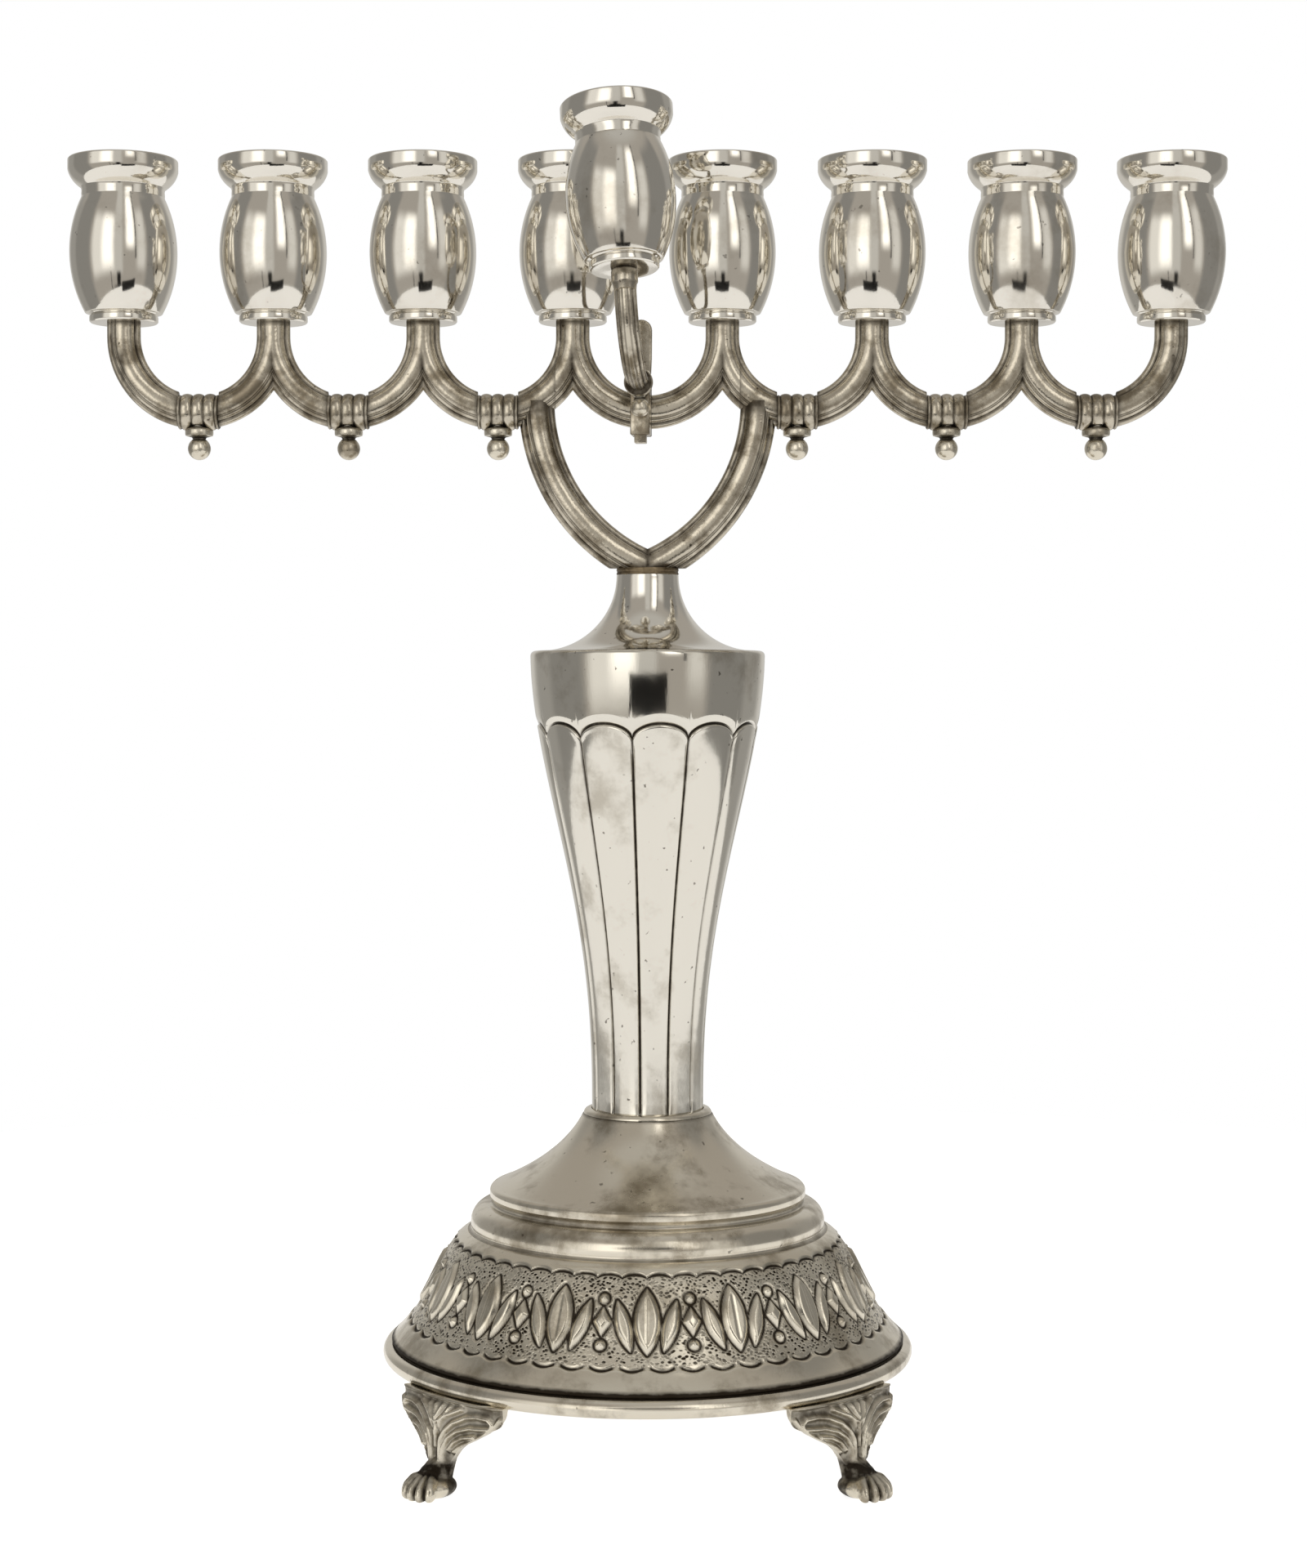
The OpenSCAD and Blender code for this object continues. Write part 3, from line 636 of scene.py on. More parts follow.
def build_turned_parts():
    neck_foot_r, neck_top_r = 22.2, 6.3
    reach = neck_foot_r - neck_top_r
    outside = [(neck_foot_r - reach * math.sin(a), NECK_H * (1 - math.cos(a)))
               for a in np.linspace(0, math.pi / 2, 41)]
    start = math.acos((NECK_H - WALL) / (NECK_H + WALL))
    inside = [(neck_foot_r - (reach + WALL) * math.sin(a), NECK_H - (NECK_H + WALL) * math.cos(a))
              for a in np.linspace(math.pi / 2, start, 25)]
    neck = [(ROD_HOLE_R, 0)] + outside + [(neck_top_r - WALL, NECK_H)] + inside[1:] + [(ROD_HOLE_R, WALL)]
    neck = turned_piece("neck_sheet", filleted(neck, 0.2, 2), 128, STEM_TOP_Z)
    settle(neck, "polished_silver", polished_silver, "neck_shell")

    ring = [(11.5, 0), (13.1, 0)] + [(11.9 + 1.2 * math.cos(a), math.sin(a)) for a in
                                     np.linspace(0.15, math.pi / 2, 9)] + [(11.5, 1.0)]
    ring = turned_piece("seat_ring_wire", filleted(ring, 0.15, 2), 96, SEAT_Z)
    settle(ring, "polished_silver", satin_silver, "stem_seat_ring")

    wire_r = (RIM_TOP_Z - FOOT_H) / 2
    rim = arc((RIM_R - wire_r, wire_r), wire_r, -90, 90, 20) + [(50.0, 2 * wire_r), (50.0, 0)]
    rim = turned_piece("rim_ring_wire", filleted(rim, 0.4), 256, FOOT_H, smooth_angle=40)
    co = points_of(rim)
    lumps = sum(np.sin(n * np.arctan2(co[:, 1], co[:, 0]) + 1.7 * n) / n for n in (3, 7, 13, 29))
    co[:, :2] *= (1 - 0.0006 * (1 + lumps))[:, None]
    move_points(rim, co)
    settle(rim, "polished_silver", satin_silver, "rim_ring")

    collar = [(ROD_HOLE_R, 0), (6.3, 0), (6.35, 0.2), (6.2, 0.55), (6.35, 0.9), (6.25, 1.3),
              (ROD_HOLE_R, 1.3)]
    collar = turned_piece("brown_collar_ring", filleted(collar, 0.12, 2), 96, NECK_TOP_Z, smooth_angle=40)
    settle(collar, "cast_silver", browned_silver, "yoke_collar")

    for name in ("tie_rod", "tie_nut", "tie_washer", "cup_screws", "shamash_screw"):
        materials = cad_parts[name].data.materials
        materials.clear()
        materials.append(steel)


build_cups()
build_turned_parts()


# ---- Fluted vase ----

FLUTES = 12
FLUTE_STEPS = 26        # columns of points in a flute
FLUTE_START = -98.0     # one groove stands a little left of the front
SCALLOP_Z = 145.5       # middle level of the scallops
SCALLOP_FOOT_Z = 143.8
SCALLOP_RISE = 3.4


def stem_r(height):
    t = (np.clip(height, 0, STEM_H) / STEM_H) ** 1.32
    return 11.4 + 12.5 * (3 * t * t - 2 * t ** 3)


def build_vase():
    """Twelve flutes with scalloped tops, chased into the vase below a smooth band."""
    near_line = [-3.4, -2.4, -1.7, -1.2, -0.85, -0.6, -0.42, -0.28, -0.14, 0.0, 0.14, 0.28, 0.42, 0.6,
                 0.85, 1.2, 1.6, 2.1, 2.8, 3.6]
    rows = list(np.linspace(SEAT_Z, 140.6, 46)) + [SCALLOP_Z + z for z in near_line]
    rows += list(np.linspace(150.6, STEM_TOP_Z - 1.0, 8))
    outside = [(float(stem_r(z - SEAT_Z)), z) for z in rows]
    top_r = float(stem_r(STEM_H - 1))
    rounding = arc((top_r - 1, STEM_TOP_Z - 1), 1.0, 15, 90, 6)
    lip = [(top_r - 3.4, STEM_TOP_Z), (top_r - 3.4, STEM_TOP_Z - WALL)]
    inner = [(float(stem_r(z - SEAT_Z)) - WALL, z) for z in np.linspace(STEM_TOP_Z - WALL, SEAT_Z, 20)]
    vase = spun("fluted_vase", outside + rounding + lip + inner, FLUTES * FLUTE_STEPS, smooth_angle=50)
    co = points_of(vase)
    radius, round_the_axis = np.hypot(co[:, 0], co[:, 1]), np.degrees(np.arctan2(co[:, 1], co[:, 0]))
    outer = (radius > stem_r(co[:, 2] - SEAT_Z) - 0.4) & (co[:, 2] < STEM_TOP_Z - 0.9)

    # where each point lies across its flute, -1 to 1, with more columns close to the grooves
    pitch = 360 / FLUTES
    flute = np.floor(round_the_axis / pitch + 0.5 / FLUTE_STEPS)
    across = np.clip((round_the_axis / pitch - flute) * 2 - 1, -1, 1)
    across = np.sign(across) * (1 - (1 - np.abs(across)) ** 1.5)
    turned = np.radians((flute + (across + 1) / 2) * pitch + FLUTE_START)
    half_width = radius * math.radians(pitch / 2)

    # the rows near the scalloped line follow it
    bow = np.sqrt(1 - (0.985 * across) ** 2)
    line = SCALLOP_FOOT_Z + SCALLOP_RISE * bow
    follow = 1 - smooth_step(np.abs(co[:, 2] - SCALLOP_Z), 3.7, 13.0)
    z = np.where(outer, co[:, 2] + (line - SCALLOP_Z) * follow, co[:, 2])
    slope = SCALLOP_RISE * 0.97 * across / bow / half_width
    above = (z - line) / np.sqrt(1 + slope ** 2)
    to_groove = (1 - np.abs(across)) * half_width

    below = smooth_step(-above, 0.0, 0.5) * smooth_step(z, SEAT_Z + 0.2, SEAT_Z + 1.4)
    panel = (-0.36 + 0.34 * (1 - across ** 4)) * smooth_step(-above, 0.0, 1.4)
    grooves = -0.50 * bumped(to_groove, 0, 0.27) * below - 0.46 * bumped(above, 0, 0.27)
    bevel = -0.30 * (1 - smooth_step(above, 0.1, 1.7)) * (above > 0)
    bevel += -0.30 * (above <= 0) * (1 - smooth_step(-above, 0.0, 0.6))
    relief = np.where(outer, panel * below + grooves + bevel, 0)
    new_r = np.where(outer, stem_r(z - SEAT_Z), radius) + relief
    move_points(vase, np.stack([new_r * np.cos(turned), new_r * np.sin(turned), z], 1))
    dark = np.maximum(bumped(to_groove, 0, 0.17) * below, bumped(above, -0.03, 0.19))
    mark(vase, "hollow", np.where(outer, dark, 0))
    settle(vase, "polished_silver", fluted_silver, "stem_shell")


# ---- Base: turned dome above, chased band and skirt below ----

BAND_R = 44.5           # radius at which the band's pattern is laid out
BAND_COLUMNS = 1000
MOTIFS = 16             # leaf groups round the band
EDGE_ARCS = 52          # scallops of the band's two edges
SKIRT_FOOT = (52.3, 0.6)        # (radius, height above the rim ring) of the skirt's lower edge
SKIRT_TOP = (36.8, 22.5)
BAND_LOW, BAND_HIGH = 4.5, 20.9     # the band's edges, above the rim ring


def profile_with_length(points):
    """A profile with the length along it and the outward normal at each point."""
    pts = np.array(points, float)
    along = np.concatenate([[0], np.cumsum(np.linalg.norm(np.diff(pts, axis=0), axis=1))])
    slope = np.gradient(pts, along, axis=0)
    normal = np.stack([slope[:, 1], -slope[:, 0]], 1)
    return pts, along, normal / np.linalg.norm(normal, axis=1)[:, None]


def pointed_leaf(x, y, half_long, half_wide):
    """How far outside a pointed oval leaf a point lies (negative inside)."""
    bow = (half_long ** 2 + half_wide ** 2) / (2 * half_wide)
    offset = bow - half_wide
    x, y = np.abs(x), np.abs(y)
    return np.where((y - half_long) * offset > x * half_long, np.hypot(x, y - half_long),
                    np.hypot(x + offset, y) - bow)


def lozenge(x, y, half_long, half_wide):
    """How far outside a lozenge a point lies."""
    edge = half_wide * half_long / math.hypot(half_wide, half_long)
    return (np.abs(x) / half_wide + np.abs(y) / half_long - 1) * edge


def leaf_band(u, v, middle):
    """Raised ornament of the band: upright leaves, leaning leaves, lozenges and bosses.
    Gives the distance outside the nearest one and how deep its midrib is."""
    period = FULL_TURN * BAND_R / MOTIFS
    x = (u / period - np.floor(u / period + 0.5)) * period
    y = v - middle
    upright = pointed_leaf(x, y, 6.4, 2.5)
    rib = 0.16 * bumped(x, 0, 0.22) * (np.abs(y) < 4.6)
    lean = math.radians(17)
    aside, up = np.abs(x) - 4.55, y + 0.9
    leaning = pointed_leaf(aside * math.cos(lean) - up * math.sin(lean),
                           aside * math.sin(lean) + up * math.cos(lean), 5.1, 1.45)
    far = period / 2 - np.abs(x)
    centre = lozenge(far, y + 0.2, 2.7, 1.75)
    boss = np.hypot(far, np.abs(y + 0.2) - 4.5) - 0.95
    outside = np.minimum.reduce([upright, leaning, centre, boss])
    return outside, np.where(upright <= outside + 1e-9, rib, 0)


def build_skirt():
    """The skirt with its chased band, one fine row of points after another up its profile."""
    side = cubic(SKIRT_FOOT, (44, 8.1), (43, 20.1), SKIRT_TOP, 400)
    pts, along, normal = profile_with_length(side)
    low_v, high_v = np.interp([BAND_LOW, BAND_HIGH], pts[:, 1], along)
    marks = np.concatenate([np.linspace(0, low_v - 1.6, 4), np.arange(low_v - 1.2, high_v + 1.2, 0.285),
                            np.linspace(high_v + 1.6, along[-1], 4)])
    outside = [tuple(float(np.interp(m, along, pts[:, i])) for i in (0, 1)) for m in marks]
    inside = [tuple(p) for p in (pts - WALL * normal)[::-50]]
    foot = [(50.9, 0.0), (51.6, 0.0), (51.7, 0.1), (51.7, 0.6), (52.15, 0.6)]
    band = spun("chased_skirt", foot + outside + inside[:-1], BAND_COLUMNS, smooth_angle=50)
    co = points_of(band)
    radius, u = np.hypot(co[:, 0], co[:, 1]), np.arctan2(co[:, 0], -co[:, 1]) * BAND_R
    v = np.interp(co[:, 2], pts[:, 1], along)
    outer = (radius > np.interp(co[:, 2], pts[:, 1], pts[:, 0]) - 0.3) & (co[:, 2] > 0.7)

    outside_leaf, rib = leaf_band(u, v, 0.5 * (low_v + high_v) + 0.2)
    step = FULL_TURN * BAND_R / EDGE_ARCS
    across = (u / step - np.floor(u / step)) * 2 - 1
    top_line = v - (high_v - 1.35 * (1 - np.sqrt(1 - 0.93 * across ** 2)))
    top_width = 0.30 - 0.12 * np.abs(across) ** 3
    low_line = v - (low_v + 1.25 * across ** 2)
    open_ends = 1 - smooth_step(np.abs(across), 0.72, 0.92)
    low_groove = bumped(low_line, 0, 0.34 - 0.12 * across ** 2) * open_ends
    between = smooth_step(v, low_v + 0.9, low_v + 1.5) * (1 - smooth_step(top_line, -0.7, -0.2))
    raised = 0.62 * smooth_step(-outside_leaf, -0.05, 0.85)
    grooves = -0.46 * np.maximum.reduce([bumped(outside_leaf, 0.32, 0.26) * between,
                                         bumped(top_line, 0, top_width), 1.1 * low_groove])
    ground_sink = -0.22 * smooth_step(v, low_v - 0.1, low_v + 0.5) * (1 - smooth_step(top_line, -0.6, 0.3))
    relief = np.where(outer, (raised - rib) * between + grooves + ground_sink, 0)
    nr, nz = (np.interp(v, along, normal[:, i]) for i in (0, 1))
    new_r, angle = radius + relief * nr, np.arctan2(co[:, 1], co[:, 0])
    move_points(band, np.stack([new_r * np.cos(angle), new_r * np.sin(angle),
                                co[:, 2] + relief * nz + RIM_TOP_Z], 1))

    dark = np.maximum.reduce([bumped(outside_leaf, 0.30, 0.24) * between,
                              bumped(top_line, -0.02, 1.05 * top_width),
                              bumped(low_line, 0, 0.33) * open_ends])
    # painted shade: the thin gap between the skirt's foot and the rim ring is marked fully dark for the
    # shadow in it
    painted_shade_under_skirt = (co[:, 2] < 0.62) * 1.0
    mark(band, "hollow", np.where(outer, dark, painted_shade_under_skirt))
    mark(band, "ground", np.where(outer, between * smooth_step(outside_leaf, 0.55, 0.9), 0))
    lay_out_band(band, u, v)
    settle(band, "polished_silver", chased_silver, "base_shell")


def build_dome():
    top = [SKIRT_TOP, (36.4, 22.7)] + arc((32.6, 24.3), 3.6, -20, 90, 16)
    top += [(32.15, 27.9), (31.9, 28.15), (31.9, 28.7), (32.05, 29.1), (32.3, 29.5)]
    top += arc((31.2, 30.4), 1.1, 0, 80, 9) + quadratic((31, 31.6), (17.6, 37.5), (13.3, 45.9), 40)
    top += [(13.0, 46.1), (4.1, 46.1), (4.1, 45.2)]
    under = [(12.6, 45.0)] + quadratic((30.4, 30.9), (17.2, 36.8), (12.6, 45.0), 12)[::-1][1:]
    under += [(31.0, 29.9), (31.0, 27.4)] + arc((32.6, 24.3), 2.6, 90, -5, 8)[1:] + [(35.9, 21.8)]
    dome = turned_piece("turned_dome", filleted(top + under, 0.3, 2), 192, RIM_TOP_Z, smooth_angle=40)
    z = points_of(dome)[:, 2] - RIM_TOP_Z
    crease = np.maximum(bumped(z, 28.4, 0.35), bumped(z, 22.6, 0.3))
    mark(dome, "hollow", 0.55 * crease + 0.8 * bumped(z, 46.1, 0.35))
    settle(dome, "polished_silver", satin_silver, "base_shell")


def lay_out_band(piece, u, v):
    """The piece's own map, in mm along and up the band, joined at the back."""
    corners = numbers_of(piece.data.loops, "vertex_index", 1).ravel()
    starts = numbers_of(piece.data.polygons, "loop_start", 1).ravel()
    owner = np.repeat(np.arange(len(starts)), np.diff(np.append(starts, len(corners))))
    along = u[corners]
    whole = FULL_TURN * BAND_R
    highest = np.maximum.reduceat(along, starts)[owner]
    along = np.where(highest - along > whole / 2, along + whole, along)
    layer = piece.data.uv_layers.new(name="band")
    layer.data.foreach_set("uv", np.stack([along, v[corners]], 1).ravel())


build_vase()
build_skirt()
build_dome()


# ---- Reeded branches ----

GROOVE_ANGLES = (24.5, -24.5, 155.5, -155.5)
RIDGE_ANGLES = (50.0, -50.0, 58.0, -58.0)
TO_COLLAR = ARC_R - COLLAR_HALF     # from a cup's axis to the nearest collar
TO_SPLIT = SPLIT_X - ARC_R          # from a middle cup's axis to the limb's casting


def reed_section(reed_r):
    """Section of a reeded rod, (outwards, sideways): a broad middle reed with a fine ridge
    near its outer side, and a thin reed along each side."""
    lobe_r, lobe_at = 0.42 * reed_r, 0.82 * reed_r
    half = np.concatenate([np.arange(0, 62, 2.5), np.arange(62, 118, 5.5), np.arange(118, 180, 2.5), [180]])
    points = []
    for degrees in np.unique(np.mod(np.concatenate([half, -half]), 360)):
        a = math.radians(degrees)
        signed = (degrees + 180) % 360 - 180
        rho = reed_r
        along, aside = abs(math.cos(a)) * lobe_at, abs(math.sin(a)) * lobe_at
        if aside < lobe_r:
            rho = max(rho, along + math.sqrt(lobe_r ** 2 - aside ** 2))
        rho -= 0.34 * sum(float(bumped(signed, g, 4.2)) for g in GROOVE_ANGLES)
        rho -= 0.13 * sum(float(bumped(signed, g, 2.6)) for g in RIDGE_ANGLES)
        points.append((rho * math.cos(a), rho * math.sin(a)))
    return points


def section_dark(outwards, sideways):
    """Oxide held by the section's grooves."""
    a = np.degrees(np.arctan2(sideways, outwards))
    dark = sum(bumped(a, g, 5.5) for g in GROOVE_ANGLES)
    return np.clip(dark + 0.75 * sum(bumped(a, g, 2.6) for g in RIDGE_ANGLES), 0, 1)


def bent_reed(name, reed_r, centre, radius, start, end, steps, run_up=0.0):
    """A reeded rod bent round centre (x, z) from angle start to end, from +X towards +Z.
    With run_up, it first comes straight down by that much."""
    a = math.radians(start)
    piece = start_loop(name, [(centre[0] + (radius + u) * math.cos(a), v,
                               centre[1] + (radius + u) * math.sin(a) + run_up)
                              for u, v in reed_section(reed_r)])
    if run_up:
        for _ in range(3):
            pull((0, 0, -run_up / 3))
    bpy.ops.mesh.spin(steps=steps, angle=math.radians(end - start),
                      center=Vector((centre[0], 0, centre[1])) * MM, axis=(0, 1, 0))
    weld()
    object_mode()
    x, y, z = points_of(piece).T
    below_run_up = np.minimum(z - centre[1], 0) if run_up else z - centre[1]
    mark(piece, "hollow", section_dark(np.hypot(x - centre[0], below_run_up) - radius, y))
    return piece


def cut_off(piece, at, away):
    """Cuts a piece at a plane, takes off the side that away points to, and closes the cut."""
    edit_all(piece)
    bpy.ops.mesh.bisect(plane_co=Vector(at) * MM, plane_no=away, use_fill=True, clear_outer=True,
                        threshold=0.0005 * MM)
    object_mode()


def joined(name, *pieces):
    select_only(*pieces)
    if len(pieces) > 1:
        bpy.ops.object.join()
    pieces[0].name = pieces[0].data.name = name
    return close_up(pieces[0], 38)


def add_dark(piece, amount):
    """More oxide where amount says, as in the crook of a joint."""
    values = np.empty(len(piece.data.vertices), np.float32)
    piece.data.attributes["hollow"].data.foreach_get("value", values)
    mark(piece, "hollow", np.maximum(values, amount))


def quarter(to_side, whole=False):
    """A quarter arc with its run-up to a cup on the Z axis, cut off to_side of it; unless it is whole,
    it is also cut at the axis."""
    piece = bent_reed("quarter", REED_R, (ARC_R, 0), ARC_R, 180, 270, 30, run_up=STUB_H)
    if not whole:
        cut_off(piece, (0, 0, 0), (-1, 0, 0))
    cut_off(piece, (to_side, 0, 0), (1, 0, 0))
    return piece


def darkened_crook(piece, to_collar=1.0):
    """Oxide in the crook under the cup, round the cup's foot and beside the collars."""
    x, _, z = points_of(piece).T
    add_dark(piece, 0.85 * bumped(x, 0, 0.7) * smooth_step(-z, 1.0, 5.0) * (z > -9)
             + 0.7 * smooth_step(z, 1.9, 2.9)
             + 0.75 * to_collar * smooth_step(np.abs(x), TO_COLLAR - 1.1, TO_COLLAR))
    return piece


def cast(piece, node):
    settle(piece, "cast_silver", oxidised_silver, node)


def build_branches():
    half = quarter(TO_COLLAR)
    branch = darkened_crook(joined("branch", half, copied(half, "half", MIRRORED)))
    for k in (2, 3, 6, 7):
        cast(copied(branch, f"branch_{k}_casting", shift((k - 4.5) * CUP_PITCH, 0, ARC_Z)), f"branch_{k}")
    taken_away(branch)

    end = darkened_crook(joined("branch_1_casting", quarter(TO_COLLAR, whole=True)))
    far_end = copied(end, "branch_8_casting", shift(3.5 * CUP_PITCH, 0, ARC_Z) @ MIRRORED)
    end.data.transform(shift(-3.5 * CUP_PITCH, 0, ARC_Z))
    cast(end, "branch_1")
    cast(far_end, "branch_8")

    # the casting in the middle: a whole arc between cups 4 and 5, and a stump outside each
    outer, inner = quarter(TO_SPLIT), quarter(ARC_R)
    inner.data.transform(MIRRORED)
    one = darkened_crook(joined("centre", outer, inner), to_collar=0.0)
    one.data.transform(shift(ARC_R, 0, ARC_Z))
    cast(joined("centre_casting", one, copied(one, "centre_left", MIRRORED)), "centre_branch")

    limb_x = LIMB_TOP_X - LIMB_R
    past_axis = 8
    limb = bent_reed("limb", LIMB_REED_R, (limb_x, LIMB_TOP_Z), LIMB_R, 0,
                     -math.degrees(math.acos(-limb_x / LIMB_R)) - past_axis, 44)
    cut_off(limb, (0, 0, 0), (-1, 0, 0))
    cut_off(limb, (0, 0, LIMB_LOW_Z), (0, 0, -1))
    x, _, z = points_of(limb).T
    add_dark(limb, 0.8 * smooth_step(z, LIMB_TOP_Z - 4.5, LIMB_TOP_Z - 1.0) + 0.85 * bumped(x, 0, 0.7)
             + 0.7 * (1 - smooth_step(z, LIMB_LOW_Z, LIMB_LOW_Z + 1.8)))
    arm = quarter(TO_COLLAR)
    cut_off(arm, (TO_SPLIT, 0, 0), (-1, 0, 0))
    x = points_of(arm)[:, 0]
    add_dark(arm, 0.75 * smooth_step(x, TO_COLLAR - 1.1, TO_COLLAR) + 0.6 * bumped(x, TO_SPLIT, 0.5))
    arm.data.transform(shift(ARC_R, 0, ARC_Z))
    right = joined("limb_right_casting", limb, arm)
    cast(copied(right, "limb_left_casting", MIRRORED), "heart_limb_left")
    cast(right, "heart_limb_right")


# ---- Ribbed collars and drop finials ----

def build_collars():
    rib_r, half_ribs = 0.62, COLLAR_HALF - 0.6
    ribs = [(COLLAR_R - rib_r + rib_r * math.sin(a), rib * half_ribs * 2 / 3 - half_ribs / 3 * math.cos(a))
            for rib in (-1, 0, 1) for a in np.radians(np.linspace(18, 162, 9))]
    end = [(2.6, COLLAR_HALF), (3.3, COLLAR_HALF), (3.5, COLLAR_HALF - 0.2), (3.4, COLLAR_HALF - 0.5)]
    collar = spun("collar", [(r, -x) for r, x in end] + ribs + end[::-1], 64, smooth_angle=70)
    x, y, _ = points_of(collar).T
    mark(collar, "hollow", 1 - smooth_step(np.hypot(x, y), COLLAR_R - 0.48, COLLAR_R - 0.16))
    collar.data.transform(turn(90, "Y"))

    drop = [(0.02, -9.7)] + arc((0, -7.4), 2.3, -84, 56, 20)
    drop += [(1.35, -5.35), (1.5, -5.1), (2.3, -4.9), (2.75, -4.75), (2.85, -4.4), (2.85, -3.8), (2.7, -3.4),
             (2.45, -3.25), (2.4, -3.0), (2.55, -2.75), (2.5, -2.2), (0.02, -2.2)]
    finial = spun("finial", drop, 56, smooth_angle=50)
    cut_out(finial, made(bpy.ops.mesh.primitive_cylinder_add, "cope", vertices=96,
                         radius=(COLLAR_R + 0.03) * MM, depth=20 * MM, rotation=(0, math.pi / 2, 0)))
    close_up(finial, 50)
    z = points_of(finial)[:, 2]
    creases = np.maximum(bumped(z, -5.25, 0.35), bumped(z, -3.15, 0.3))
    mark(finial, "hollow", np.maximum(creases, smooth_step(z, -2.7, -2.2)))
    for k in (1, 2, 3, 5, 6, 7):
        pair, place = f"{k}_{k + 1}", shift((k - 4) * CUP_PITCH, 0, ARC_LOW_Z)
        cast(copied(collar, f"collar_{pair}_ribs", place @ turn(17.0 * k, "X")), f"collar_{pair}")
        settle(copied(finial, f"finial_{pair}_drop", place), "polished_silver", cast_silver, f"finial_{pair}")
    taken_away(collar, finial)


build_branches()
build_collars()


# ---- Leaf-kneed paw feet ----

PAW_X = 57.5            # the paw's middle, out from the lamp's axis
TOE_GAPS = (-28.5, -9.5, 9.5, 28.5)
WING_HALF_W = 14.1
WING_SHEET_R = 53.1
TOE_R = 1.35

# The leaf wing, (along the rim, height): its lower edge, and its raised ribs with their widths
WING_EDGE = [(0, 6.2), (2.4, 6.3), (3.2, 7.6), (4.2, 9.1), (5.4, 10.2), (7.4, 11.2), (10.7, 13.0),
             (12.8, 14.8), (13.8, 16.2), (WING_HALF_W, FOOT_H)]
WING_RIBS = [
    ([(1.1, 6.4), (0.95, 9.1), (1.3, 11.2), (2.2, 12.8), (3.9, 14.5), (6.5, 15.8), (8.9, 16.3), (11.6, 16.2),
      (12.6, 15.3), (12.0, 14.4)], 0.50),
    ([(1.5, 7.0), (1.8, 9.5), (2.8, 11.5), (4.7, 13.0), (7.4, 13.9), (10.0, 14.1), (12.0, 14.4)], 0.42),
    ([(3.0, 9.3), (4.2, 10.9), (5.9, 11.9), (8.4, 12.4)], 0.42),
    (WING_EDGE[3:-1], 0.42),
    ([(0.2, 14.2), (2.4, 15.9), (5.4, 17.3)], 0.55),
    ([(0.15, 12.0), (1.2, 14.6), (2.7, 17.2)], 0.42),
    ([(0, 15.0), (0.9, 17.3)], 0.38),
    ([(0, 9.5), (0, 13.0), (0, 15.4)], 0.30),
]


def sculpted_ball(name, place, size, steps=(24, 14)):
    """A rounded lump with three radii at place, to be melted into its neighbours."""
    lump = made(bpy.ops.mesh.primitive_uv_sphere_add, name, segments=steps[0], ring_count=steps[1],
                radius=1.0)
    lump.data.transform(place @ Matrix.Diagonal((size[0] * MM, size[1] * MM, size[2] * MM, 1)))
    return lump


def tapered_rod(name, path, radii):
    """A rod through points whose radius changes along it: cones between balls."""
    parts = []
    for a, b, ra, rb in zip(path, path[1:], radii, radii[1:]):
        a, b = Vector(a), Vector(b)
        rod = made(bpy.ops.mesh.primitive_cone_add, name, vertices=16, radius1=ra * MM, radius2=rb * MM,
                   depth=(b - a).length * MM)
        aim = Vector((0, 0, 1)).rotation_difference((b - a).normalized()).to_matrix().to_4x4()
        rod.data.transform(shift(*((a + b) / 2)) @ aim)
        parts.append(rod)
    return parts + [sculpted_ball(name, shift(*point), (r, r, r), (16, 10)) for point, r in zip(path, radii)]


def line_distance(at, path):
    """How far the points at (n, 2) lie from a line through path."""
    nearest = np.full(len(at), 1e9)
    for a, b in zip(path, path[1:]):
        a, b = np.array(a), np.array(b)
        t = np.clip((at - a) @ (b - a) / ((b - a) @ (b - a)), 0, 1)
        nearest = np.minimum(nearest, np.linalg.norm(at - a - t[:, None] * (b - a), axis=1))
    return nearest


def foot_lumps():
    """Leg, shins, paw and toes of a foot that points along +X, as lumps that overlap."""
    parts = tapered_rod("leg", [(52.4, 0, 15.6), (53.3, 0, 12.6), (53.6, 0, 10.2), (54.2, 0, 8.2),
                                (55.3, 0, 6.6), (56.8, 0, 5.0), (58.4, 0, 3.9)],
                        [2.2, 2.0, 1.8, 1.75, 1.95, 2.4, 2.5])
    for side in (-1.3, 1.3):
        parts += tapered_rod("shin", [(53.4, side, 12.0), (53.9, side, 9.0), (54.6, side, 6.8),
                                      (56.4, side, 4.4)], [1.6, 1.35, 1.3, 2.0])
    parts.append(sculpted_ball("paw_pad", shift(57.9, 0, 2.1), (4.7, 4.7, 2.3)))
    parts.append(sculpted_ball("heel", shift(55.4, 0, 1.7), (2.3, 3.0, 1.7)))
    for a, reach in zip(np.radians(np.linspace(-38, 38, 5)), (4.95, 5.35, 5.35, 5.35, 4.95)):
        toe = [(1.9, 3.9), (3.6, 3.35), (reach - 0.3, 2.2), (reach, 1.4)]
        parts += tapered_rod("toe", [(PAW_X + d * math.cos(a), d * math.sin(a), z) for d, z in toe],
                             [1.15, 1.3, TOE_R, TOE_R])
    return parts


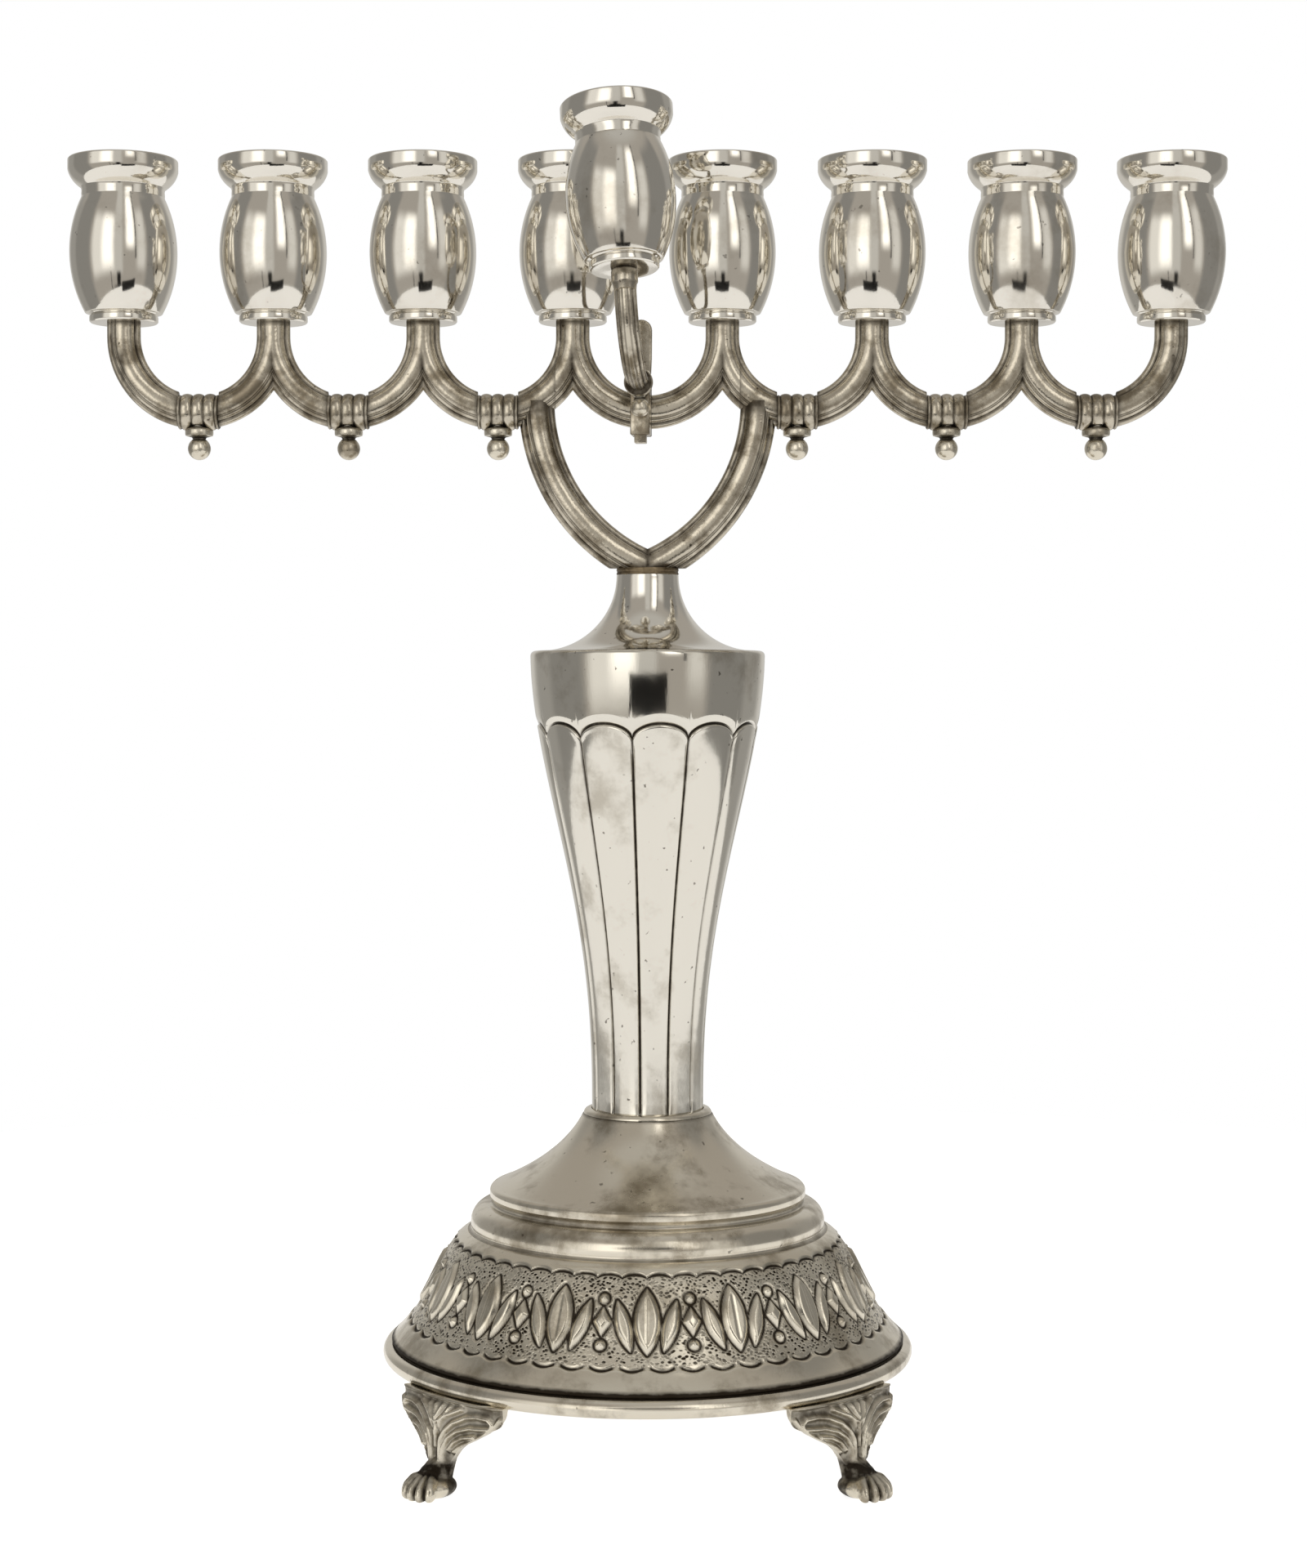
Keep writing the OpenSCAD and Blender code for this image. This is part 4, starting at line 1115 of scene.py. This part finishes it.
def wing_sheet():
    """Both wings as one sheet, bent round the rim ring and thickened inwards."""
    sheet = made(bpy.ops.mesh.primitive_grid_add, "wings", x_subdivisions=112, y_subdivisions=36, size=2)
    across, up, _ = (points_of(sheet) * MM).T
    side = across * WING_HALF_W
    low = np.interp(np.abs(side), *zip(*WING_EDGE))
    z = low + (up + 1) / 2 * (FOOT_H + 1.6 - low)
    bulge = 1.55 * bumped(side, 0, 5.2) * smooth_step(FOOT_H - z, 0, 3.4)
    curl = 0.9 * smooth_step(np.abs(side), 11.5, WING_HALF_W)
    out, angle = WING_SHEET_R + bulge - curl, side / RIM_R
    move_points(sheet, np.stack([out * np.cos(angle), out * np.sin(angle), z], 1))
    applied(sheet, "SOLIDIFY", thickness=2.7 * MM, offset=1.0)
    return sheet


def smoothed(piece, share, rounds=1):
    """Draws each point towards its neighbours' mean by this share."""
    co = points_of(piece)
    for _ in range(rounds):
        co = (1 - share) * co + share * neighbour_mean(piece, co)
    move_points(piece, co)


def build_feet():
    """Four feet: leaf wings under the rim, a knee, an ankle and a five-toed paw."""
    parts = foot_lumps() + [wing_sheet()]
    select_only(*parts)
    bpy.ops.object.join()
    foot = parts[0]
    applied(foot, "REMESH", mode="VOXEL", voxel_size=0.21 * MM, use_smooth_shade=True)
    smoothed(foot, 0.65, 4)
    dark = carve_leaf(foot)
    smoothed(foot, 0.5)
    co = points_of(foot)
    co[:, 2] = np.maximum(co[:, 2], 0)
    move_points(foot, co)
    mark(foot, "hollow", neighbour_mean(foot, dark))
    # the leaves' tops reach into the rim ring's round underside
    cut_off(foot, (0, 0, FOOT_H + 0.45), (0, 0, 1))
    for name, turned in (("front_left", -135), ("front_right", -45), ("back_left", 135), ("back_right", 45)):
        settle(copied(foot, f"foot_{name}_casting", turn(turned, "Z")), "cast_silver", cast_silver,
               f"foot_{name}")
    taken_away(foot)


def carve_leaf(foot):
    """Raises the ribs of the leaf, sinks the ground between them and parts the toes.
    Gives how dark each point is: oxide in the leaf's ground, and darker between the toes, in a band round the
    ankle, on the paw's top behind the toes, on the back of the paw's lower half and on the inside of the
    wings."""
    co, normal = points_of(foot), numbers_of(foot.data.vertices, "normal")
    radius, angle = np.hypot(co[:, 0], co[:, 1]), np.arctan2(co[:, 1], co[:, 0])
    side, z = np.abs(angle) * RIM_R, co[:, 2]
    outward = np.stack([np.cos(angle), np.sin(angle)], 1)
    facing = smooth_step(np.einsum("ij,ij->i", normal[:, :2], outward), 0.15, 0.6)
    leaf = facing * smooth_step(z, 5.6, 7.4) * (1 - smooth_step(z, 17.7, 18.4)) * (radius > 51.5)
    at = np.stack([side, z], 1)
    ribs = np.maximum.reduce([bumped(line_distance(at, path), 0, width) for path, width in WING_RIBS])
    keel = 0.55 * bumped(side, 0.55, 0.28) * smooth_step(z, 5.0, 7.0) * (1 - smooth_step(z, 13.5, 15.0))
    co[:, :2] += outward * (leaf * (1.05 * ribs - 0.60 - keel))[:, None]
    dark = leaf * np.clip(1.15 - 1.5 * ribs, 0, 1) * 0.52 + 0.8 * leaf * keel
    ankle_dark = 0.80 * bumped(z, 6.0, 1.7) * (radius < 58.5) * (1 - 0.8 * ribs * leaf)

    px, py = co[:, 0] - PAW_X, co[:, 1]
    reach, toe_angle = np.hypot(px, py), np.degrees(np.arctan2(py, px))
    paw = smooth_step(reach, 1.6, 3.2) * (1 - smooth_step(z, 4.6, 5.6)) * (px > -1.0)
    gap = paw * np.maximum.reduce([bumped(toe_angle, between, 3.6) for between in TOE_GAPS])
    scale = np.where(reach > 1e-6, 1 - 0.75 * gap / np.maximum(reach, 1.0), 1)
    co[:, 0], co[:, 1] = PAW_X + px * scale, py * scale
    co[:, 2] -= 0.35 * gap * smooth_step(z, 2.0, 3.5)
    top_dark = 0.85 * smooth_step(z, 2.9, 4.2) * (1 - smooth_step(z, 6.2, 7.6)) * (radius > 55.5)
    move_points(foot, co)
    return np.maximum.reduce([dark, ankle_dark, 0.95 * gap, top_dark * (1 - 0.55 * (reach > 3.4)),
                              0.7 * (px < 0.5) * (z < 4.8),
                              0.75 * (1 - smooth_step(radius, 51.0, 52.0)) * (z > 6)])


build_feet()


# ---- Servant light: socket, holder with thumb leaf, arm, bead collar and drop ----
# Its pieces are drawn with +X pointing out from the branches, and then turned into place.

BLOCK_HALF_W = 1.95
SOCKET_X = (1.8, 7.2)
TENON_HALF = 1.2
TENON_X = (4.0, 6.4)
SOCKET_TOP_Z = 215.2
BLOCK_LOW_Z, BLOCK_TOP_Z = 215.4, 218.0
ARM_FRONT_X = 8.02      # the holder's front face, where the arm starts
ARM_REED_R = 1.8
ARM_LOBE_R, ARM_LOBE_AT = 0.8, 1.4
ARM_GROOVES = (60, 120, 240, 300)
ARM_RIDGES = (20, 160, 200, 340)


def box_between(low, high, edge=0.0, segments=3, cuts=0):
    """A block between two corners, its edges rounded by edge."""
    block = made(bpy.ops.mesh.primitive_cube_add, "block", size=1)
    low, high = Vector(low) * MM, Vector(high) * MM
    block.data.transform(Matrix.Translation((low + high) / 2) @ Matrix.Diagonal((*(high - low), 1)))
    if cuts:
        edit_all(block)
        bpy.ops.mesh.subdivide(number_cuts=cuts)
        object_mode()
    return bevelled(block, edge, segments) if edge else block


def bevelled(piece, width, segments=3):
    applied(piece, "BEVEL", width=width * MM, segments=segments, limit_method="ANGLE",
            angle_limit=math.radians(40))
    return close_up(piece, 35)


def build_socket():
    """A square tube on the arc below, hollow for the tenon and coped to the arc."""
    socket = box_between((SOCKET_X[0], -BLOCK_HALF_W, 205.1), (SOCKET_X[1], BLOCK_HALF_W, SOCKET_TOP_Z),
                         0.28, cuts=3)
    room, clear = TENON_HALF + 0.05, 0.05
    cut_out(socket, box_between((TENON_X[0] - clear, -room, 204), (TENON_X[1] + clear, room, 216)))
    socket.data.transform(SERVANT_HOLDER)
    arc_room = bent_reed("arc_room", REED_R + 0.03, (0, ARC_Z), ARC_R, 225, 315, 24)
    edit_all(arc_room)
    bpy.ops.mesh.fill_holes(sides=0)
    bpy.ops.mesh.normals_make_consistent(inside=False)
    cut_out(socket, arc_room)
    close_up(socket, 35)
    socket.name = socket.data.name = "socket"
    co = points_of(socket)
    mark(socket, "hollow", np.maximum(0.9 * smooth_step(co[:, 1], -3.9, -3.2),
                                      0.6 * bumped(co[:, 2], 215.0, 0.25)))
    settle(socket, "cast_silver", oxidised_silver, "shamash_socket")


def thumb_leaf():
    """A flat leaf with a round top, standing at the back of the block."""
    back, thick = 4.6, 1.2
    side = [(2.2, 225.4), (2.15, 220.5), (2.0, 217.3)]
    outline = [(-y, z) for y, z in side[::-1]] + arc((0, 226.3), 2.2, 180, 0, 12) + side
    leaf = start_loop("leaf", [(back, y, z) for y, z in outline])
    bpy.ops.mesh.edge_face_add()
    pull((-thick, 0, 0))
    edit_all()
    bpy.ops.mesh.normals_make_consistent(inside=False)
    return bevelled(leaf, 0.4)


def build_holder():
    tenon = box_between((TENON_X[0], -TENON_HALF, 203.5), (TENON_X[1], TENON_HALF, 215.6), 0.22, 2)
    block = box_between((3.4, -BLOCK_HALF_W, BLOCK_LOW_Z), (8.0, BLOCK_HALF_W, BLOCK_TOP_Z), 0.35)
    plate = box_between((7.4, -BLOCK_HALF_W, 213.5), (8.0, BLOCK_HALF_W, 217.8), 0.2, 2)
    holder = joined("holder_casting", block, tenon, plate, thumb_leaf())
    x, _, z = points_of(holder).T
    mark(holder, "hollow", 0.8 * np.maximum(bumped(z, BLOCK_TOP_Z, 0.4) * (x < 5.0),
                                            bumped(z, BLOCK_LOW_Z, 0.3)))
    holder.data.transform(SERVANT_HOLDER)
    settle(holder, "cast_silver", oxidised_silver, "shamash_tenon", body="shamash")


def arm_outline():
    """Section of the servant arm, (outwards, sideways): a round reed with a thin reed on each side."""
    points = []
    for degrees in range(0, 360, 6):
        a = math.radians(degrees)
        rho, along, aside = ARM_REED_R, abs(math.sin(a)) * ARM_LOBE_AT, abs(math.cos(a)) * ARM_LOBE_AT
        if aside < ARM_LOBE_R:
            rho = max(rho, along + math.sqrt(ARM_LOBE_R ** 2 - aside ** 2))
        rho -= 0.16 * sum(float(bumped(degrees, g, 6)) for g in ARM_GROOVES)
        rho -= 0.12 * sum(float(bumped(degrees, g, 5)) for g in ARM_RIDGES)
        points.append((rho * math.cos(a), rho * math.sin(a)))
    return points


def build_arm():
    arm = start_loop("arm", [(ARM_FRONT_X, v, -u) for u, v in arm_outline()])
    for _ in range(4):
        pull(((ARM_BEND_X - ARM_FRONT_X) / 4, 0, 0))
    bpy.ops.mesh.spin(steps=44, angle=math.radians(90 + SERVANT_LEAN), axis=(0, 1, 0),
                      center=Vector((ARM_BEND_X, 0, SERVANT_REACH)) * MM)
    weld()
    bpy.ops.mesh.fill_holes(sides=0)
    object_mode()
    x, y, z = points_of(arm).T
    out = np.where(x < ARM_BEND_X, -z, np.hypot(x - ARM_BEND_X, z - SERVANT_REACH) - SERVANT_REACH)
    a = np.degrees(np.arctan2(y, out)) % 360
    dark = sum(bumped(a, g, 7) for g in ARM_GROOVES) + 0.7 * sum(bumped(a, g, 5) for g in ARM_RIDGES)
    mark(arm, "hollow", np.maximum(dark, 0.8 * smooth_step(z, 28.0, 31.0)))
    arm.data.transform(SERVANT_ARM)
    boss = spun("boss", filleted([(0.05, -4.2), (2.2, -4.2), (2.35, -3.0), (2.6, -2.6), (2.6, -0.5),
                                  (2.45, 0), (0.05, 0)], 0.2, 2), 48, smooth_angle=40)
    z = points_of(boss)[:, 2]
    mark(boss, "hollow", 0.9 * np.maximum(bumped(z, 0, 0.5), bumped(z, -3.4, 0.5)))
    boss.data.transform(servant_cup_frame())
    settle(joined("servant_arm_casting", arm, boss), "cast_silver", oxidised_silver, "shamash_arm",
           body="shamash")

    bead = [(1.5, 0), (2.6, 0), (2.85, 0.15), (2.9, 0.35), (2.85, 0.55), (2.6, 0.7), (2.85, 0.85),
            (2.9, 1.05), (2.85, 1.25), (2.6, 1.4), (1.5, 1.4)]
    bead = spun("servant_bead_ring", bead, 56, smooth_angle=70)
    x, y, _ = points_of(bead).T
    mark(bead, "hollow", 1 - smooth_step(np.hypot(x, y), 2.6, 2.82))
    bead.data.transform(SERVANT_ARM @ shift(9.0) @ turn(90, "Y"))
    settle(bead, "cast_silver", oxidised_silver, "shamash_collar", body="shamash")

    drop = [(0.02, -1.9)] + arc((0, 0), 1.9, -84, 52, 16)
    drop += [(1.15, 1.7), (1.0, 1.9), (1.0, 2.1), (1.25, 2.25), (1.1, 2.45), (0.02, 2.45)]
    drop = spun("servant_drop", drop, 48, smooth_angle=50)
    mark(drop, "hollow", bumped(points_of(drop)[:, 2], 1.8, 0.35))
    drop.data.transform(SERVANT_ARM @ shift(9.7, 0, -5.1))
    settle(drop, "polished_silver", cast_silver, "shamash_finial", body="shamash")


build_socket()
build_holder()
build_arm()
